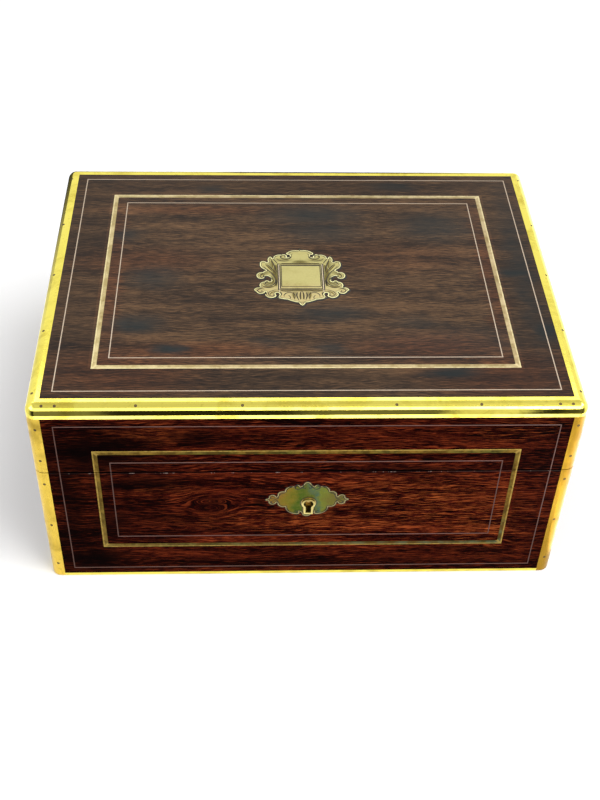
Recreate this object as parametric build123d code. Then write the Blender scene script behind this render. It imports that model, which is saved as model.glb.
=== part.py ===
"""A brass-bound rosewood dressing case: lined base, hinged lid with mirror, link lock and fittings.

Millimetres. X runs to the right, Y to the back and Z up. The origin is the centre of the underside.
"""

from build123d import *
import math
import os

# The whole case
WIDTH = 305.0
DEPTH = 233.0
HEIGHT = 141.0
SEAM = 91.5  # height of the joint between base and lid
SEAM_GAP = 0.5
EDGE_RADIUS = 5.5  # top and upright edges
FOOT_RADIUS = 1.2  # bottom edges

# Sheet that covers the boards: brass edging and rosewood veneer lie in one layer
SKIN = 1.5
STRIP = 7.9  # width of the brass edging on each face
FOOT_STRIP = 2.8  # height of the bottom edging
WALL = 11.0  # board and veneer together
TOP_BOARD = 8.5
BOTTOM_BOARD = 8.0

# Brass lines let into the veneer
INLAY_DEPTH = 1.0
FINE_LINE = 0.6
BAND = 2.9
TOP_FINE_INSET = (13.7, 13.3)  # from the outer faces, along X and Y
TOP_BAND_INSET = (33.05, 31.7)
TOP_INNER_INSET = (41.9, 40.4)
FRONT_FINE = (13.95, 13.5, 7.5)  # from the sides, below the top, above the bottom
FRONT_BAND = (33.3, 32.6, 26.95)
FRONT_INNER = (42.4, 41.6, 36.25)

# Hinges: two brass butt hinges let into the back rims
AXIS_Y = DEPTH / 2 - 3.0
HINGE_X = 92.0
HINGE_LENGTH = 46.0
KNUCKLES = 5
KNUCKLE_GAP = 0.1
BARREL_RADIUS = 2.2
BARREL_ROOM = 0.3
PIN_RADIUS = 1.0
PIN_CLEARANCE = 0.05
LEAF = 1.2
LEAF_WIDTH = 6.6
GROOVE_ANGLE = 48.0

# Lock
LOCK_WIDTH = 56.0
LOCK_DROP = 39.5  # depth of the lock case below the rim
LOCK_SHEET = 0.9
LOCK_FRONT = DEPTH / 2 - 3.5  # distance of the lock's front from the case's centre plane
SELVEDGE_LENGTH = 74.0
SELVEDGE_THICK = 1.6
STAPLE_X = (-14.5, 15.5)
STAPLE = (2.0, 5.2, 9.2)
STAPLE_EYE = (2.8, 4.0)
STAPLE_FOOT = 1.2  # metal under the eye
STAPLE_ROOM = 0.8  # on each side of a staple in the selvedge
FINGER_GAP = 0.8  # from a finger to its staple when the bolt is drawn back
BOLT_TRAVEL = 5.0
BAR_Z = (74.0, 80.0)  # foot and top of the bolt's bar
BOLT_THICK = 2.2
BOLT_POST = 3.0
FINGER_HEIGHT = 3.2
KEY_NOTCH = 2.6  # radius of the notch that the key turns in
SPRING_SHEET = 0.6
DRILL_PIN = (0.8, 9.0)  # radius and length of the pin that a hollow key turns on
KEY_X = 1.6
KEY_Z = 64.9
NOZZLE_RADIUS = 3.95
NOZZLE_STEM = 5.4
NOZZLE_FOOT_Z = 56.4
NOZZLE_PROUD = 1.2
NOZZLE_WALL = 1.1
KEYHOLE_RADIUS = 2.8
KEYHOLE_SLOT = 3.2

# Screws of the hinges and the lock
SCREW_HEAD = 1.5  # radius
SCREW_SHANK = 0.7
SCREW_SINK = 0.8  # height of the countersunk head
SCREW_LENGTH = 6.0
SCREW_SLOT = (0.35, 0.25)  # width and depth

# Lid inside
RING = 12.5  # facing round the mirror
RING_Z = 99.0
RING_REBATE = 4.0  # the facing's ledge that stops the mirror's frame
MIRROR_PLAY = 0.4
MIRROR_THICK = 6.0
MIRROR_BORDER = 9.0
MIRROR_LAP = 3.0  # the frame's lap over the glass
GLASS_DEPTH = (2.0, 4.5)  # the mirror glass, above the frame's face
LID_LINING = 1.5
BUTTON_RADIUS = 3.4
BUTTON_THICK = 1.6
BUTTON_GAP = 0.15
TONGUE = (2.2, 12.5)  # half width and reach
PIVOT_RADIUS = 0.9

# Base inside
LINER = 3.0
LIP = 3.0  # the liner stands this far above the base's rim
LIP_PLAY = 0.4
LIP_ROUND = 0.9
DIVIDER = 3.0
DIVIDER_TOP = 80.0
SIDE_WELL = 46.0
BACK_WELL = 46.0
FLOOR_LINING = 1.2
TRAY_Z = 60.0
TRAY_TOP = 79.0
TRAY_WALL = 3.0
TRAY_FLOOR = 2.5
TRAY_PLAY = 0.6
TRAY_SPLIT = 0.36  # the front well's share of the tray's depth
TRAY_LEDGE = (4.0, 6.0)
PAD = (3.5, 1.6)  # thickness and edge radius of the tray's padded lining
BOTTLES = 3
VESSEL_TOP = 90.5
VESSEL_GAP = 1.0
VESSEL_RADIUS = 4.0
GLASS_FLOOR = 4.5
SHOULDER = 16.0  # from the shoulder to the top of the cap
NECK_INSET = 5.0
NECK_HEIGHT = 5.0
NECK_WALL = 2.0
NECK_RADIUS = 3.0
CAP_PLAY = 0.3  # between the cap's skirt and the shoulder
CAP_OVERHANG = 2.5

HALF_W = WIDTH / 2
HALF_D = DEPTH / 2
BASE_RIM = SEAM - SEAM_GAP / 2
LID_RIM = SEAM + SEAM_GAP / 2
INNER_W = HALF_W - WALL
INNER_D = HALF_D - WALL
LID_CEILING = HEIGHT - SKIN - TOP_BOARD
LINED_W = INNER_W - LINER
LINED_D = INNER_D - LINER
FLOOR_Z = BOTTOM_BOARD + FLOOR_LINING
LOCK_BACK = -INNER_D
STAPLE_Y = -(LOCK_FRONT + INNER_D) / 2
BUTTON_Y = RING / 3 - INNER_D  # the turn button's pivot, in the facing's front rail
COLUMN_X = LINED_W - SIDE_WELL  # inner face of each side column
BACK_Y = LINED_D - BACK_WELL
BOTTLE_PITCH = (2 * COLUMN_X - DIVIDER) / BOTTLES

os.makedirs("parts", exist_ok=True)


def block(x0, x1, y0, y1, z0, z1):
    """A box between two corners."""
    return Pos((x0 + x1) / 2, (y0 + y1) / 2, (z0 + z1) / 2) * Box(x1 - x0, y1 - y0, z1 - z0)


def both_sides(shape):
    """A shape on the right with its mirror image on the left."""
    return shape + mirror(shape, about=Plane.YZ)


def across_seam(shape):
    """The mirror image of a shape of the base's rim in the lid's rim."""
    return mirror(shape, about=Plane.XY.offset(SEAM))


def four_corners(shape):
    """A shape in the right back corner, repeated in the other three."""
    pair = both_sides(shape)
    return pair + mirror(pair, about=Plane.XZ)


def rounded_case(inset, height):
    """The outer form of the closed case, drawn in by inset, from the ground to height."""
    body = block(inset - HALF_W, HALF_W - inset, inset - HALF_D, HALF_D - inset, 0, height)
    edges = body.edges().filter_by(Axis.Z) + body.edges().group_by(Axis.Z)[-1]
    return fillet(edges, EDGE_RADIUS - inset)


def outer_case():
    body = rounded_case(0, HEIGHT)
    return fillet(body.edges().group_by(Axis.Z)[0], FOOT_RADIUS)


OUTER = outer_case()
CORE = rounded_case(SKIN, HEIGHT - SKIN)
SHELL = OUTER - CORE


def save(name, shape):
    """Writes one node, as a single solid or as a compound of its solids."""
    solids = shape.solids()
    whole = solids[0] if len(solids) == 1 else Compound(children=list(solids))
    export_step(whole, f"parts/{name}.step")


def turned_groove():
    """What both rims give up along the back edge, so that the lid can turn down behind."""
    reach = 12.0
    rise = reach * math.tan(math.radians(GROOVE_ANGLE))
    wedge = Plane.YZ * Polyline(
        (AXIS_Y, SEAM), (AXIS_Y + reach, SEAM + rise), (AXIS_Y + reach, SEAM - rise), close=True
    )
    return Pos(-HALF_W - 1, 0, 0) * extrude(make_face(wedge), WIDTH + 2, dir=(1, 0, 0))


def hinge_recesses():
    """Room for the hinge barrels and leaves in both rims."""
    barrel = Pos(HINGE_X, AXIS_Y, SEAM) * Rot(0, 90, 0) * Cylinder(
        BARREL_RADIUS + BARREL_ROOM, HINGE_LENGTH + KNUCKLE_GAP
    )
    leaf = block(
        HINGE_X - HINGE_LENGTH / 2, HINGE_X + HINGE_LENGTH / 2,
        AXIS_Y - LEAF_WIDTH, AXIS_Y,
        BASE_RIM - LEAF, LID_RIM + LEAF,
    )
    return both_sides(barrel + leaf)


GROOVE = turned_groove()
HINGE_ROOM = hinge_recesses()


def base_part(shape):
    """The part of a shape below the seam, with the back groove cut."""
    return shape & block(-HALF_W, HALF_W, -HALF_D, HALF_D, 0, BASE_RIM) - GROOVE


def lid_part(shape):
    return shape & block(-HALF_W, HALF_W, -HALF_D, HALF_D, LID_RIM, HEIGHT) - GROOVE


# Boards

def selvedge_plate():
    """The long brass plate that lies in the front board's rim over the lock."""
    return block(
        -SELVEDGE_LENGTH / 2, SELVEDGE_LENGTH / 2, -LOCK_FRONT, -INNER_D,
        BASE_RIM - SELVEDGE_THICK, BASE_RIM,
    )


def lock_mortise():
    """The pocket for the lock case in the front board, with the selvedge plate's bed on the rim."""
    case = block(
        -LOCK_WIDTH / 2, LOCK_WIDTH / 2, -LOCK_FRONT, -INNER_D, BASE_RIM - LOCK_DROP, BASE_RIM
    )
    return case + selvedge_plate()


def keyhole_plan():
    """The nozzle's outline in X and Z: a round head over a straight stem."""
    ring = Pos(KEY_X, KEY_Z) * Circle(NOZZLE_RADIUS)
    stem = Pos(KEY_X, (KEY_Z + NOZZLE_FOOT_Z) / 2) * Rectangle(NOZZLE_STEM, KEY_Z - NOZZLE_FOOT_Z)
    return ring + stem


def front_extrusion(plan, y_front, y_back):
    """A plan drawn in X and Z, made solid from y_front back to y_back."""
    face = Plane((0, y_front, 0), x_dir=(1, 0, 0), z_dir=(0, -1, 0)) * plan
    return extrude(face, y_back - y_front, dir=(0, 1, 0))


def screw_places():
    """Screw positions in the base's rim: two in the lock's selvedge and three in each hinge leaf."""
    lock_margin = 4.0
    hinge_margin = 6.0
    lock_y = -(LOCK_FRONT + INNER_D) / 2
    lock = [(side * (SELVEDGE_LENGTH / 2 - lock_margin), lock_y) for side in (-1, 1)]
    hinge_y = AXIS_Y - (LEAF_WIDTH + BARREL_RADIUS) / 2
    hinges = [
        (side * (HINGE_X + step), hinge_y)
        for side in (-1, 1)
        for step in (hinge_margin - HINGE_LENGTH / 2, 0, HINGE_LENGTH / 2 - hinge_margin)
    ]
    return lock + hinges


def screw_form():
    """A countersunk head over a plain shank, with its face at the origin and its tip below."""
    hanging = (Align.CENTER, Align.CENTER, Align.MAX)
    head = Cone(SCREW_SHANK, SCREW_HEAD, SCREW_SINK, align=hanging)
    shank = Cylinder(SCREW_SHANK, SCREW_LENGTH - SCREW_SINK, align=hanging)
    return head + Pos(0, 0, -SCREW_SINK) * shank


def in_base_rim(form):
    """A form at each screw's place in the base's rim."""
    return all_of([Pos(x, y, BASE_RIM) * form for x, y in screw_places()])


def all_of(shapes):
    total = shapes[0]
    for shape in shapes[1:]:
        total = total + shape
    return total


BASE_SOCKETS = in_base_rim(screw_form())
LID_SOCKETS = across_seam(BASE_SOCKETS)


def walls(bottom, top):
    """Front, back, left and right boards between two heights."""
    front = block(-HALF_W, HALF_W, -HALF_D, -INNER_D, bottom, top)
    left = block(-HALF_W, -INNER_W, -INNER_D, INNER_D, bottom, top)
    return {
        "front": front,
        "back": mirror(front, about=Plane.XZ),
        "left": left,
        "right": mirror(left, about=Plane.YZ),
    }


def base_boards():
    boards = walls(BOTTOM_BOARD, BASE_RIM)
    boards["front"] -= lock_mortise()
    boards["front"] -= front_extrusion(keyhole_plan(), -HALF_D - 1, -LOCK_FRONT)
    for name, board in boards.items():
        cut = base_part(board & CORE) - HINGE_ROOM - BASE_SOCKETS
        save(f"base_{name}_board", cut)
    bottom = CORE & block(-HALF_W, HALF_W, -HALF_D, HALF_D, 0, BOTTOM_BOARD)
    save("base_bottom_board", bottom)


def lid_boards():
    boards = walls(LID_RIM, LID_CEILING)
    boards["front"] -= across_seam(selvedge_plate())
    for name, board in boards.items():
        cut = lid_part(board & CORE) - HINGE_ROOM - LID_SOCKETS
        save(f"lid_{name}_board", cut)
    top = CORE & block(-HALF_W, HALF_W, -HALF_D, HALF_D, LID_CEILING, HEIGHT)
    save("lid_top_board", top)


# Inlay and ornament

def frame_plan(outer_w, outer_d, width):
    return Rectangle(outer_w, outer_d) - Rectangle(outer_w - 2 * width, outer_d - 2 * width)


def top_stringing():
    """Two fine lines and a wide band, each a mitred rectangle sunk in the top veneer."""
    sets = ((TOP_FINE_INSET, FINE_LINE), (TOP_BAND_INSET, BAND), (TOP_INNER_INSET, FINE_LINE))
    frames = [
        Pos(0, 0, HEIGHT - INLAY_DEPTH)
        * extrude(frame_plan(WIDTH - 2 * inset[0], DEPTH - 2 * inset[1], width), INLAY_DEPTH)
        for inset, width in sets
    ]
    return all_of(frames)


def front_stringing():
    """The same three frames on the front, running across the seam."""
    frames = []
    for (side, below_top, above_foot), width in (
        (FRONT_FINE, FINE_LINE), (FRONT_BAND, BAND), (FRONT_INNER, FINE_LINE)
    ):
        z_top = HEIGHT - below_top
        frame = frame_plan(WIDTH - 2 * side, z_top - above_foot, width)
        plan = Pos(0, (z_top + above_foot) / 2) * frame
        frames.append(front_extrusion(plan, -HALF_D, -HALF_D + INLAY_DEPTH))
    return all_of(frames)


# Half outlines of the two ornaments, clockwise from the top of the axis to its foot. Each entry is
# a corner's x and y and the rise of the arc that leads to the next corner, positive outwards.
CARTOUCHE_X = -0.9
CARTOUCHE_OUTLINE = [
    (0, 25.8, -0.25), (1.2, 24.3, 0.95), (7.6, 22.2, 0.3), (8.3, 20.5, 0.35), (6.8, 20.2, -0.3),
    (6.2, 18.6, -0.7), (8.3, 17.2, 1.75), (11.4, 19.7, 1.05), (16.3, 17.5, -0.3),
    (17.0, 15.9, 0.25), (18.4, 18.0, 0.85), (19.6, 12.9, -0.4), (20.9, 12.4, 1.6),
    (24.6, 10.8, 1.0), (22.1, 5.2, -0.3), (21.2, 3.6, 0.5), (22.6, 2.1, 1.9), (26.6, -2.2, 1.0),
    (23.0, -3.9, 0.4), (22.1, -2.4, -0.6), (20.2, -1.5, -0.6), (18.0, -5.0, -0.6),
    (19.2, -7.0, 1.2), (22.1, -7.2, 0.9), (25.0, -10.2, 0.35), (24.3, -12.4, -0.15),
    (26.4, -12.8, 0.35), (28.4, -14.8, 0.2), (27.0, -16.6, 1.2), (22.8, -18.2, 0.4),
    (22.0, -16.9, -0.25), (21.1, -17.3, 0.9), (20.8, -21.4, 1.0), (16.3, -21.9, 0.5),
    (15.3, -19.9, -0.2), (15.6, -18.2, -0.6), (13.5, -18.4, -0.8), (14.9, -21.9, 0.5),
    (8.6, -24.1, 0.4), (1.9, -26.9, 0.4), (0, -29.8, 0),
]
ESCUTCHEON_X = 0.7
ESCUTCHEON_Z = 67.9
ESCUTCHEON_OUTLINE = [
    (0, 14.7, 0.25), (1.9, 13.2, -0.35), (4.2, 10.7, 1.4), (7.2, 10.8, 1.9), (12.9, 6.6, 1.5),
    (16.9, 3.5, -0.3), (17.9, 2.2, 2.0), (21.9, 1.6, -0.15), (22.9, 0.5, 1.0), (22.9, -0.8, -0.15),
    (22.1, -1.6, 2.2), (17.8, -2.4, -0.3), (16.9, -3.5, 1.3), (12.4, -6.2, 1.8), (6.1, -12.6, 1.1),
    (4.6, -10.2, -0.4), (2.6, -12.2, 0.7), (0, -14.3, 0),
]


def ornament_plan(outline):
    """The whole ornament: the arcs of one half, closed along the axis, and their mirror image."""
    arcs = [
        SagittaArc((x0, y0), (x1, y1), rise)
        for (x0, y0, rise), (x1, y1, _) in zip(outline, outline[1:])
    ]
    axis = Line(outline[-1][:2], outline[0][:2])
    half = make_face(Wire([*arcs, axis]))
    return half + mirror(half, about=Plane.YZ)


def cartouche():
    """The engraved name plate of the lid, left blank, in its scrolled border."""
    plan = ornament_plan(CARTOUCHE_OUTLINE)
    return Pos(CARTOUCHE_X, 0, HEIGHT - INLAY_DEPTH) * extrude(plan, INLAY_DEPTH)


def escutcheon():
    """The scrolled plate round the keyhole, flush with the veneer."""
    plan = Pos(ESCUTCHEON_X, ESCUTCHEON_Z) * ornament_plan(ESCUTCHEON_OUTLINE)
    plate = front_extrusion(plan, -HALF_D, -HALF_D + INLAY_DEPTH)
    return plate - front_extrusion(keyhole_plan(), -HALF_D - 1, -LOCK_FRONT)


def veneer_panels():
    """Plain sheets between the brass strips, before the inlay is let in."""
    side_z = (FOOT_STRIP, HEIGHT - STRIP)
    front = block(-HALF_W + STRIP, HALF_W - STRIP, -HALF_D, -HALF_D + SKIN, *side_z)
    left = block(-HALF_W, -HALF_W + SKIN, -HALF_D + STRIP, HALF_D - STRIP, *side_z)
    return {
        "front": front,
        "back": mirror(front, about=Plane.XZ),
        "left": left,
        "right": mirror(left, about=Plane.YZ),
    }


def veneers_and_inlay():
    plate = escutcheon()
    lines = front_stringing() - plate
    name_plate = cartouche()
    top_lines = top_stringing()
    keyway = front_extrusion(keyhole_plan(), -HALF_D - 1, -LOCK_FRONT)
    for name, panel in veneer_panels().items():
        if name == "front":
            panel = panel - lines - plate - keyway
        save(f"base_{name}_veneer", base_part(panel) - HINGE_ROOM)
        save(f"lid_{name}_veneer", lid_part(panel) - HINGE_ROOM)
    top = block(
        -HALF_W + STRIP, HALF_W - STRIP, -HALF_D + STRIP, HALF_D - STRIP, HEIGHT - SKIN, HEIGHT
    )
    save("lid_top_veneer", top - top_lines - name_plate)
    save("top_stringing", top_lines)
    save("cartouche", name_plate)
    save("base_front_stringing", base_part(lines))
    save("lid_front_stringing", lid_part(lines))
    save("escutcheon", plate)


# Brass edging

def mitred_zone(half_run, half_depth):
    """The room of the front top strip, cut to 45 degrees at both ends."""
    plan = Polyline(
        (-half_run, -half_depth), (half_run, -half_depth),
        (half_run - STRIP, STRIP - half_depth), (STRIP - half_run, STRIP - half_depth), close=True,
    )
    return Pos(0, 0, HEIGHT - STRIP) * extrude(make_face(plan), STRIP)


def brass_edging():
    front = SHELL & mitred_zone(HALF_W, HALF_D)
    left = SHELL & Rot(0, 0, -90) * mitred_zone(HALF_D, HALF_W)
    strips = [front, mirror(front, about=Plane.XZ), left, mirror(left, about=Plane.YZ)]
    save("lid_edge_strips", Compound(children=[strip.solids()[0] for strip in strips]))
    corner = SHELL & block(HALF_W - STRIP, HALF_W, HALF_D - STRIP, HALF_D, 0, HEIGHT - STRIP)
    corners = four_corners(corner)
    save("base_corner_strips", base_part(corners) - HINGE_ROOM)
    save("lid_corner_strips", lid_part(corners) - HINGE_ROOM)
    foot = SHELL & block(-HALF_W, HALF_W, -HALF_D, HALF_D, 0, FOOT_STRIP)
    long_ways = block(-HALF_W + STRIP, HALF_W - STRIP, -HALF_D, HALF_D, 0, FOOT_STRIP)
    short_ways = block(-HALF_W, HALF_W, -HALF_D + STRIP, HALF_D - STRIP, 0, FOOT_STRIP)
    save("base_bottom_strips", (foot & long_ways) + (foot & short_ways))


# Hinges

def hinge_leaf(z0, z1, first):
    """One leaf of the right hinge; first is 0 or 1 and picks its knuckles."""
    start = HINGE_X - HINGE_LENGTH / 2
    pitch = HINGE_LENGTH / KNUCKLES
    plate = block(start, start + HINGE_LENGTH, AXIS_Y - LEAF_WIDTH, AXIS_Y, z0, z1)
    bore = Pos(HINGE_X, AXIS_Y, SEAM) * Rot(0, 90, 0) * Cylinder(
        PIN_RADIUS + PIN_CLEARANCE, HINGE_LENGTH + 1
    )
    for index in range(KNUCKLES):
        x0 = start + index * pitch
        middle = Pos(x0 + pitch / 2, AXIS_Y, SEAM) * Rot(0, 90, 0)
        if index % 2 == first:
            plate = plate + middle * Cylinder(BARREL_RADIUS, pitch - KNUCKLE_GAP)
        else:
            plate = plate - middle * Cylinder(BARREL_RADIUS + BARREL_ROOM, pitch + KNUCKLE_GAP)
    return plate - bore


def hinges():
    lower = both_sides(hinge_leaf(BASE_RIM - LEAF, BASE_RIM, 0)) - BASE_SOCKETS
    upper = both_sides(hinge_leaf(LID_RIM, LID_RIM + LEAF, 1)) - LID_SOCKETS
    save("hinge_base_leaves", lower)
    save("hinge_lid_leaves", upper)
    pin = Pos(HINGE_X, AXIS_Y, SEAM) * Rot(0, 90, 0) * Cylinder(PIN_RADIUS, HINGE_LENGTH)
    save("hinge_pins", both_sides(pin))


# Lock

def lock_case():
    """A brass tray let into the front board, open towards the inside and at the staples."""
    top = BASE_RIM - SELVEDGE_THICK
    outer = block(
        -LOCK_WIDTH / 2, LOCK_WIDTH / 2, -LOCK_FRONT, LOCK_BACK - LOCK_SHEET,
        BASE_RIM - LOCK_DROP, top
    )
    hollow = block(
        -LOCK_WIDTH / 2 + LOCK_SHEET, LOCK_WIDTH / 2 - LOCK_SHEET,
        -LOCK_FRONT + LOCK_SHEET, LOCK_BACK, BASE_RIM - LOCK_DROP + LOCK_SHEET, top,
    )
    nozzle = front_extrusion(keyhole_plan(), -HALF_D - 1, LOCK_BACK - LOCK_SHEET)
    return outer - hollow - nozzle


def lock_cap_plate():
    """The back of the lock with its selvedge, the plate that lies in the base's rim."""
    back = block(
        -LOCK_WIDTH / 2, LOCK_WIDTH / 2, LOCK_BACK - LOCK_SHEET, LOCK_BACK,
        BASE_RIM - LOCK_DROP, BASE_RIM - SELVEDGE_THICK
    )
    selvedge = selvedge_plate()
    for x in STAPLE_X:
        selvedge -= Pos(x, STAPLE_Y, BASE_RIM - SELVEDGE_THICK / 2) * Box(
            STAPLE[0] + 2 * STAPLE_ROOM, LOCK_FRONT - INNER_D - 2 * LOCK_SHEET, SELVEDGE_THICK + 1
        )
    pin = Pos(KEY_X, LOCK_BACK - LOCK_SHEET, KEY_Z) * Rot(90, 0, 0) * Cylinder(
        *DRILL_PIN, align=(Align.CENTER, Align.CENTER, Align.MIN)
    )
    return back + selvedge + pin - BASE_SOCKETS


def keyhole_nozzle():
    """A raised brass lining of the keyhole that runs through to the lock case."""
    body = front_extrusion(keyhole_plan(), -HALF_D - NOZZLE_PROUD, -LOCK_FRONT + LOCK_SHEET)
    slot_foot = NOZZLE_FOOT_Z + NOZZLE_WALL
    slot = Pos(KEY_X, (KEY_Z + slot_foot) / 2) * Rectangle(KEYHOLE_SLOT, KEY_Z - slot_foot)
    hole = Pos(KEY_X, KEY_Z) * Circle(KEYHOLE_RADIUS) + slot
    return body - front_extrusion(hole, -HALF_D - 2, -LOCK_FRONT + 2)


def lock_bolt():
    """A sliding bar with two upright posts, each with a finger that enters a staple's eye."""
    y0 = STAPLE_Y - BOLT_THICK / 2
    y1 = STAPLE_Y + BOLT_THICK / 2
    eye_z = BASE_RIM - STAPLE[2] + STAPLE_FOOT + STAPLE_EYE[1] / 2
    finger_z = (eye_z - FINGER_HEIGHT / 2, eye_z + FINGER_HEIGHT / 2)
    post_clearance = 0.4
    finger = BOLT_TRAVEL - FINGER_GAP + post_clearance
    ends = [x - STAPLE[0] / 2 - FINGER_GAP for x in STAPLE_X]
    bolt = block(ends[0] - finger - BOLT_POST, ends[1], y0, y1, *BAR_Z)
    for end in ends:
        bolt += block(end - finger - BOLT_POST, end - finger, y0, y1, BAR_Z[1], finger_z[1])
        bolt += block(end - finger, end, y0, y1, *finger_z)
    notch = Pos(KEY_X, STAPLE_Y, BAR_Z[0]) * Rot(90, 0, 0) * Cylinder(KEY_NOTCH, BOLT_THICK + 1)
    return bolt - notch


def bolt_spring():
    """A thin leaf riveted to the bolt's bar, whose bowed tip rides under the selvedge."""
    clearance = 0.1
    ceiling = BASE_RIM - SELVEDGE_THICK - clearance
    root = (-11.0, BAR_Z[1])
    middle = (-4.0, ceiling - 3.4)
    tip_x = 7.0
    half_width = 0.9
    lower = ThreePointArc(root, middle, (tip_x, ceiling - SPRING_SHEET))
    upper = ThreePointArc(
        (tip_x, ceiling), (middle[0] - 0.4, middle[1] + SPRING_SHEET), (root[0] - 0.8, root[1])
    )
    rim = Wire([lower, Line(lower @ 1, upper @ 0), upper, Line(upper @ 1, lower @ 0)])
    return front_extrusion(make_face(rim), STAPLE_Y - half_width, STAPLE_Y + half_width)


def link_plate():
    """The lid's plate with two staples that drop into the lock."""
    plate = across_seam(selvedge_plate())
    for x in STAPLE_X:
        tip = BASE_RIM - STAPLE[2]
        staple = block(
            x - STAPLE[0] / 2, x + STAPLE[0] / 2,
            STAPLE_Y - STAPLE[1] / 2, STAPLE_Y + STAPLE[1] / 2, tip, LID_RIM,
        )
        eye = Pos(x, STAPLE_Y, tip + STAPLE_FOOT + STAPLE_EYE[1] / 2) * Box(
            STAPLE[0] + 1, STAPLE_EYE[0], STAPLE_EYE[1]
        )
        plate = plate + (staple - eye)
    return plate - LID_SOCKETS


def lock():
    save("lock_case", lock_case())
    save("lock_cap_plate", lock_cap_plate())
    save("keyhole_nozzle", keyhole_nozzle())
    save("lock_bolt", lock_bolt())
    save("bolt_spring", bolt_spring())
    save("link_plate", link_plate())
    slot = Box(2 * SCREW_HEAD + 1, SCREW_SLOT[0], 2 * SCREW_SLOT[1])
    screws = in_base_rim(screw_form() - slot)
    save("base_screws", screws)
    save("lid_screws", across_seam(screws))


# Lid inside

def inner_panel(margin, z0, z1):
    """A block in the middle of the case, that far inside the walls."""
    return block(margin - INNER_W, INNER_W - margin, margin - INNER_D, INNER_D - margin, z0, z1)


def mirror_ring():
    """The facing round the mirror, with a rebate that stops the mirror's frame."""
    ring = inner_panel(0, RING_Z, LID_CEILING)
    hole = inner_panel(RING, RING_Z, RING_Z + MIRROR_THICK)
    room = inner_panel(RING + RING_REBATE, RING_Z, LID_CEILING)
    pivot_room = 0.05
    pivot = Pos(0, BUTTON_Y, RING_Z) * Cylinder(PIVOT_RADIUS + pivot_room, 8)
    return ring - hole - room - pivot


def mirror_parts():
    """The mirror's frame and the glass in its rebate."""
    edge = RING + MIRROR_PLAY
    sight_edge = edge + MIRROR_BORDER
    glass_z = [RING_Z + depth for depth in GLASS_DEPTH]
    frame = inner_panel(edge, RING_Z, RING_Z + MIRROR_THICK)
    sight = inner_panel(sight_edge, RING_Z, glass_z[0])
    glass = inner_panel(sight_edge - MIRROR_LAP, *glass_z)
    save("mirror_frame", frame - sight - glass)
    save("mirror_glass", glass)


def mirror_button():
    """A brass turn button whose tongue laps over the mirror's frame."""
    z1 = RING_Z - BUTTON_GAP
    z0 = z1 - BUTTON_THICK
    half_width, reach = TONGUE
    disc = Pos(0, BUTTON_Y, (z0 + z1) / 2) * Cylinder(BUTTON_RADIUS, BUTTON_THICK)
    tongue = block(-half_width, half_width, BUTTON_Y, BUTTON_Y + reach, z0, z1)
    tongue = fillet(tongue.edges().filter_by(Axis.Z).group_by(Axis.Y)[-1], half_width - 0.2)
    pivot = Pos(0, BUTTON_Y, z1 - 0.05) * Cylinder(
        PIVOT_RADIUS, 4.0, align=(Align.CENTER, Align.CENTER, Align.MIN)
    )
    return disc + tongue + pivot


def lid_inside():
    save("mirror_ring", mirror_ring())
    mirror_parts()
    save("mirror_button", mirror_button())
    save("lid_lining", inner_panel(RING + RING_REBATE, LID_CEILING - LID_LINING, LID_CEILING))


# Base inside

def rim_liner():
    """The inner facing of the base's walls, which stands up above the rim and guides the lid."""
    below = block(-INNER_W, INNER_W, -INNER_D, INNER_D, BOTTOM_BOARD, BASE_RIM)
    above = inner_panel(LIP_PLAY, BASE_RIM, BASE_RIM + LIP)
    above = fillet(above.edges().group_by(Axis.Z)[-1], LIP_ROUND)
    inside = block(-LINED_W, LINED_W, -LINED_D, LINED_D, BOTTOM_BOARD - 1, BASE_RIM + LIP + 1)
    return below + above - inside


def compartment_dividers():
    """Upright rosewood partitions with the ledges that carry the tray."""
    z = (FLOOR_Z, DIVIDER_TOP)
    left = block(-COLUMN_X, -COLUMN_X + DIVIDER, -LINED_D, LINED_D, *z)
    back = block(-COLUMN_X + DIVIDER, COLUMN_X - DIVIDER, BACK_Y - DIVIDER, BACK_Y, *z)
    short = block(-LINED_W, -COLUMN_X, -2 * DIVIDER, -DIVIDER, *z)
    frame = both_sides(left) + back + both_sides(short)
    for index in range(1, BOTTLES):
        x = -COLUMN_X + index * BOTTLE_PITCH
        frame += block(x, x + DIVIDER, BACK_Y, LINED_D, *z)
    ledge_x = DIVIDER - COLUMN_X
    ledge = block(
        ledge_x, ledge_x + TRAY_LEDGE[0], -LINED_D, BACK_Y - DIVIDER, TRAY_Z - TRAY_LEDGE[1], TRAY_Z
    )
    return frame + both_sides(ledge)


def tray_plan():
    """Half width, front and back of the lift-out tray."""
    return COLUMN_X - DIVIDER - TRAY_PLAY, TRAY_PLAY - LINED_D, BACK_Y - DIVIDER - TRAY_PLAY


def tray_wells():
    """The tray's three hollows: one across the front and two side by side behind it."""
    half_w, front, back = tray_plan()
    split = front + TRAY_SPLIT * (back - front)
    z = (TRAY_Z + TRAY_FLOOR, TRAY_TOP + 1)
    return [
        block(-half_w + TRAY_WALL, half_w - TRAY_WALL, front + TRAY_WALL, split, *z),
        block(-half_w + TRAY_WALL, -TRAY_WALL / 2, split + TRAY_WALL, back - TRAY_WALL, *z),
        block(TRAY_WALL / 2, half_w - TRAY_WALL, split + TRAY_WALL, back - TRAY_WALL, *z),
    ]


def tray():
    half_w, front, back = tray_plan()
    body = block(-half_w, half_w, front, back, TRAY_Z, TRAY_TOP)
    for well in tray_wells():
        body -= well
    return body


def tray_lining():
    """Padded velvet in the bottom of each well."""
    pads = []
    for well in tray_wells():
        box = well.bounding_box()
        pad = block(box.min.X, box.max.X, box.min.Y, box.max.Y, box.min.Z, box.min.Z + PAD[0])
        pads.append(fillet(pad.edges().group_by(Axis.Z)[-1], PAD[1]))
    return all_of(pads)


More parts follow.
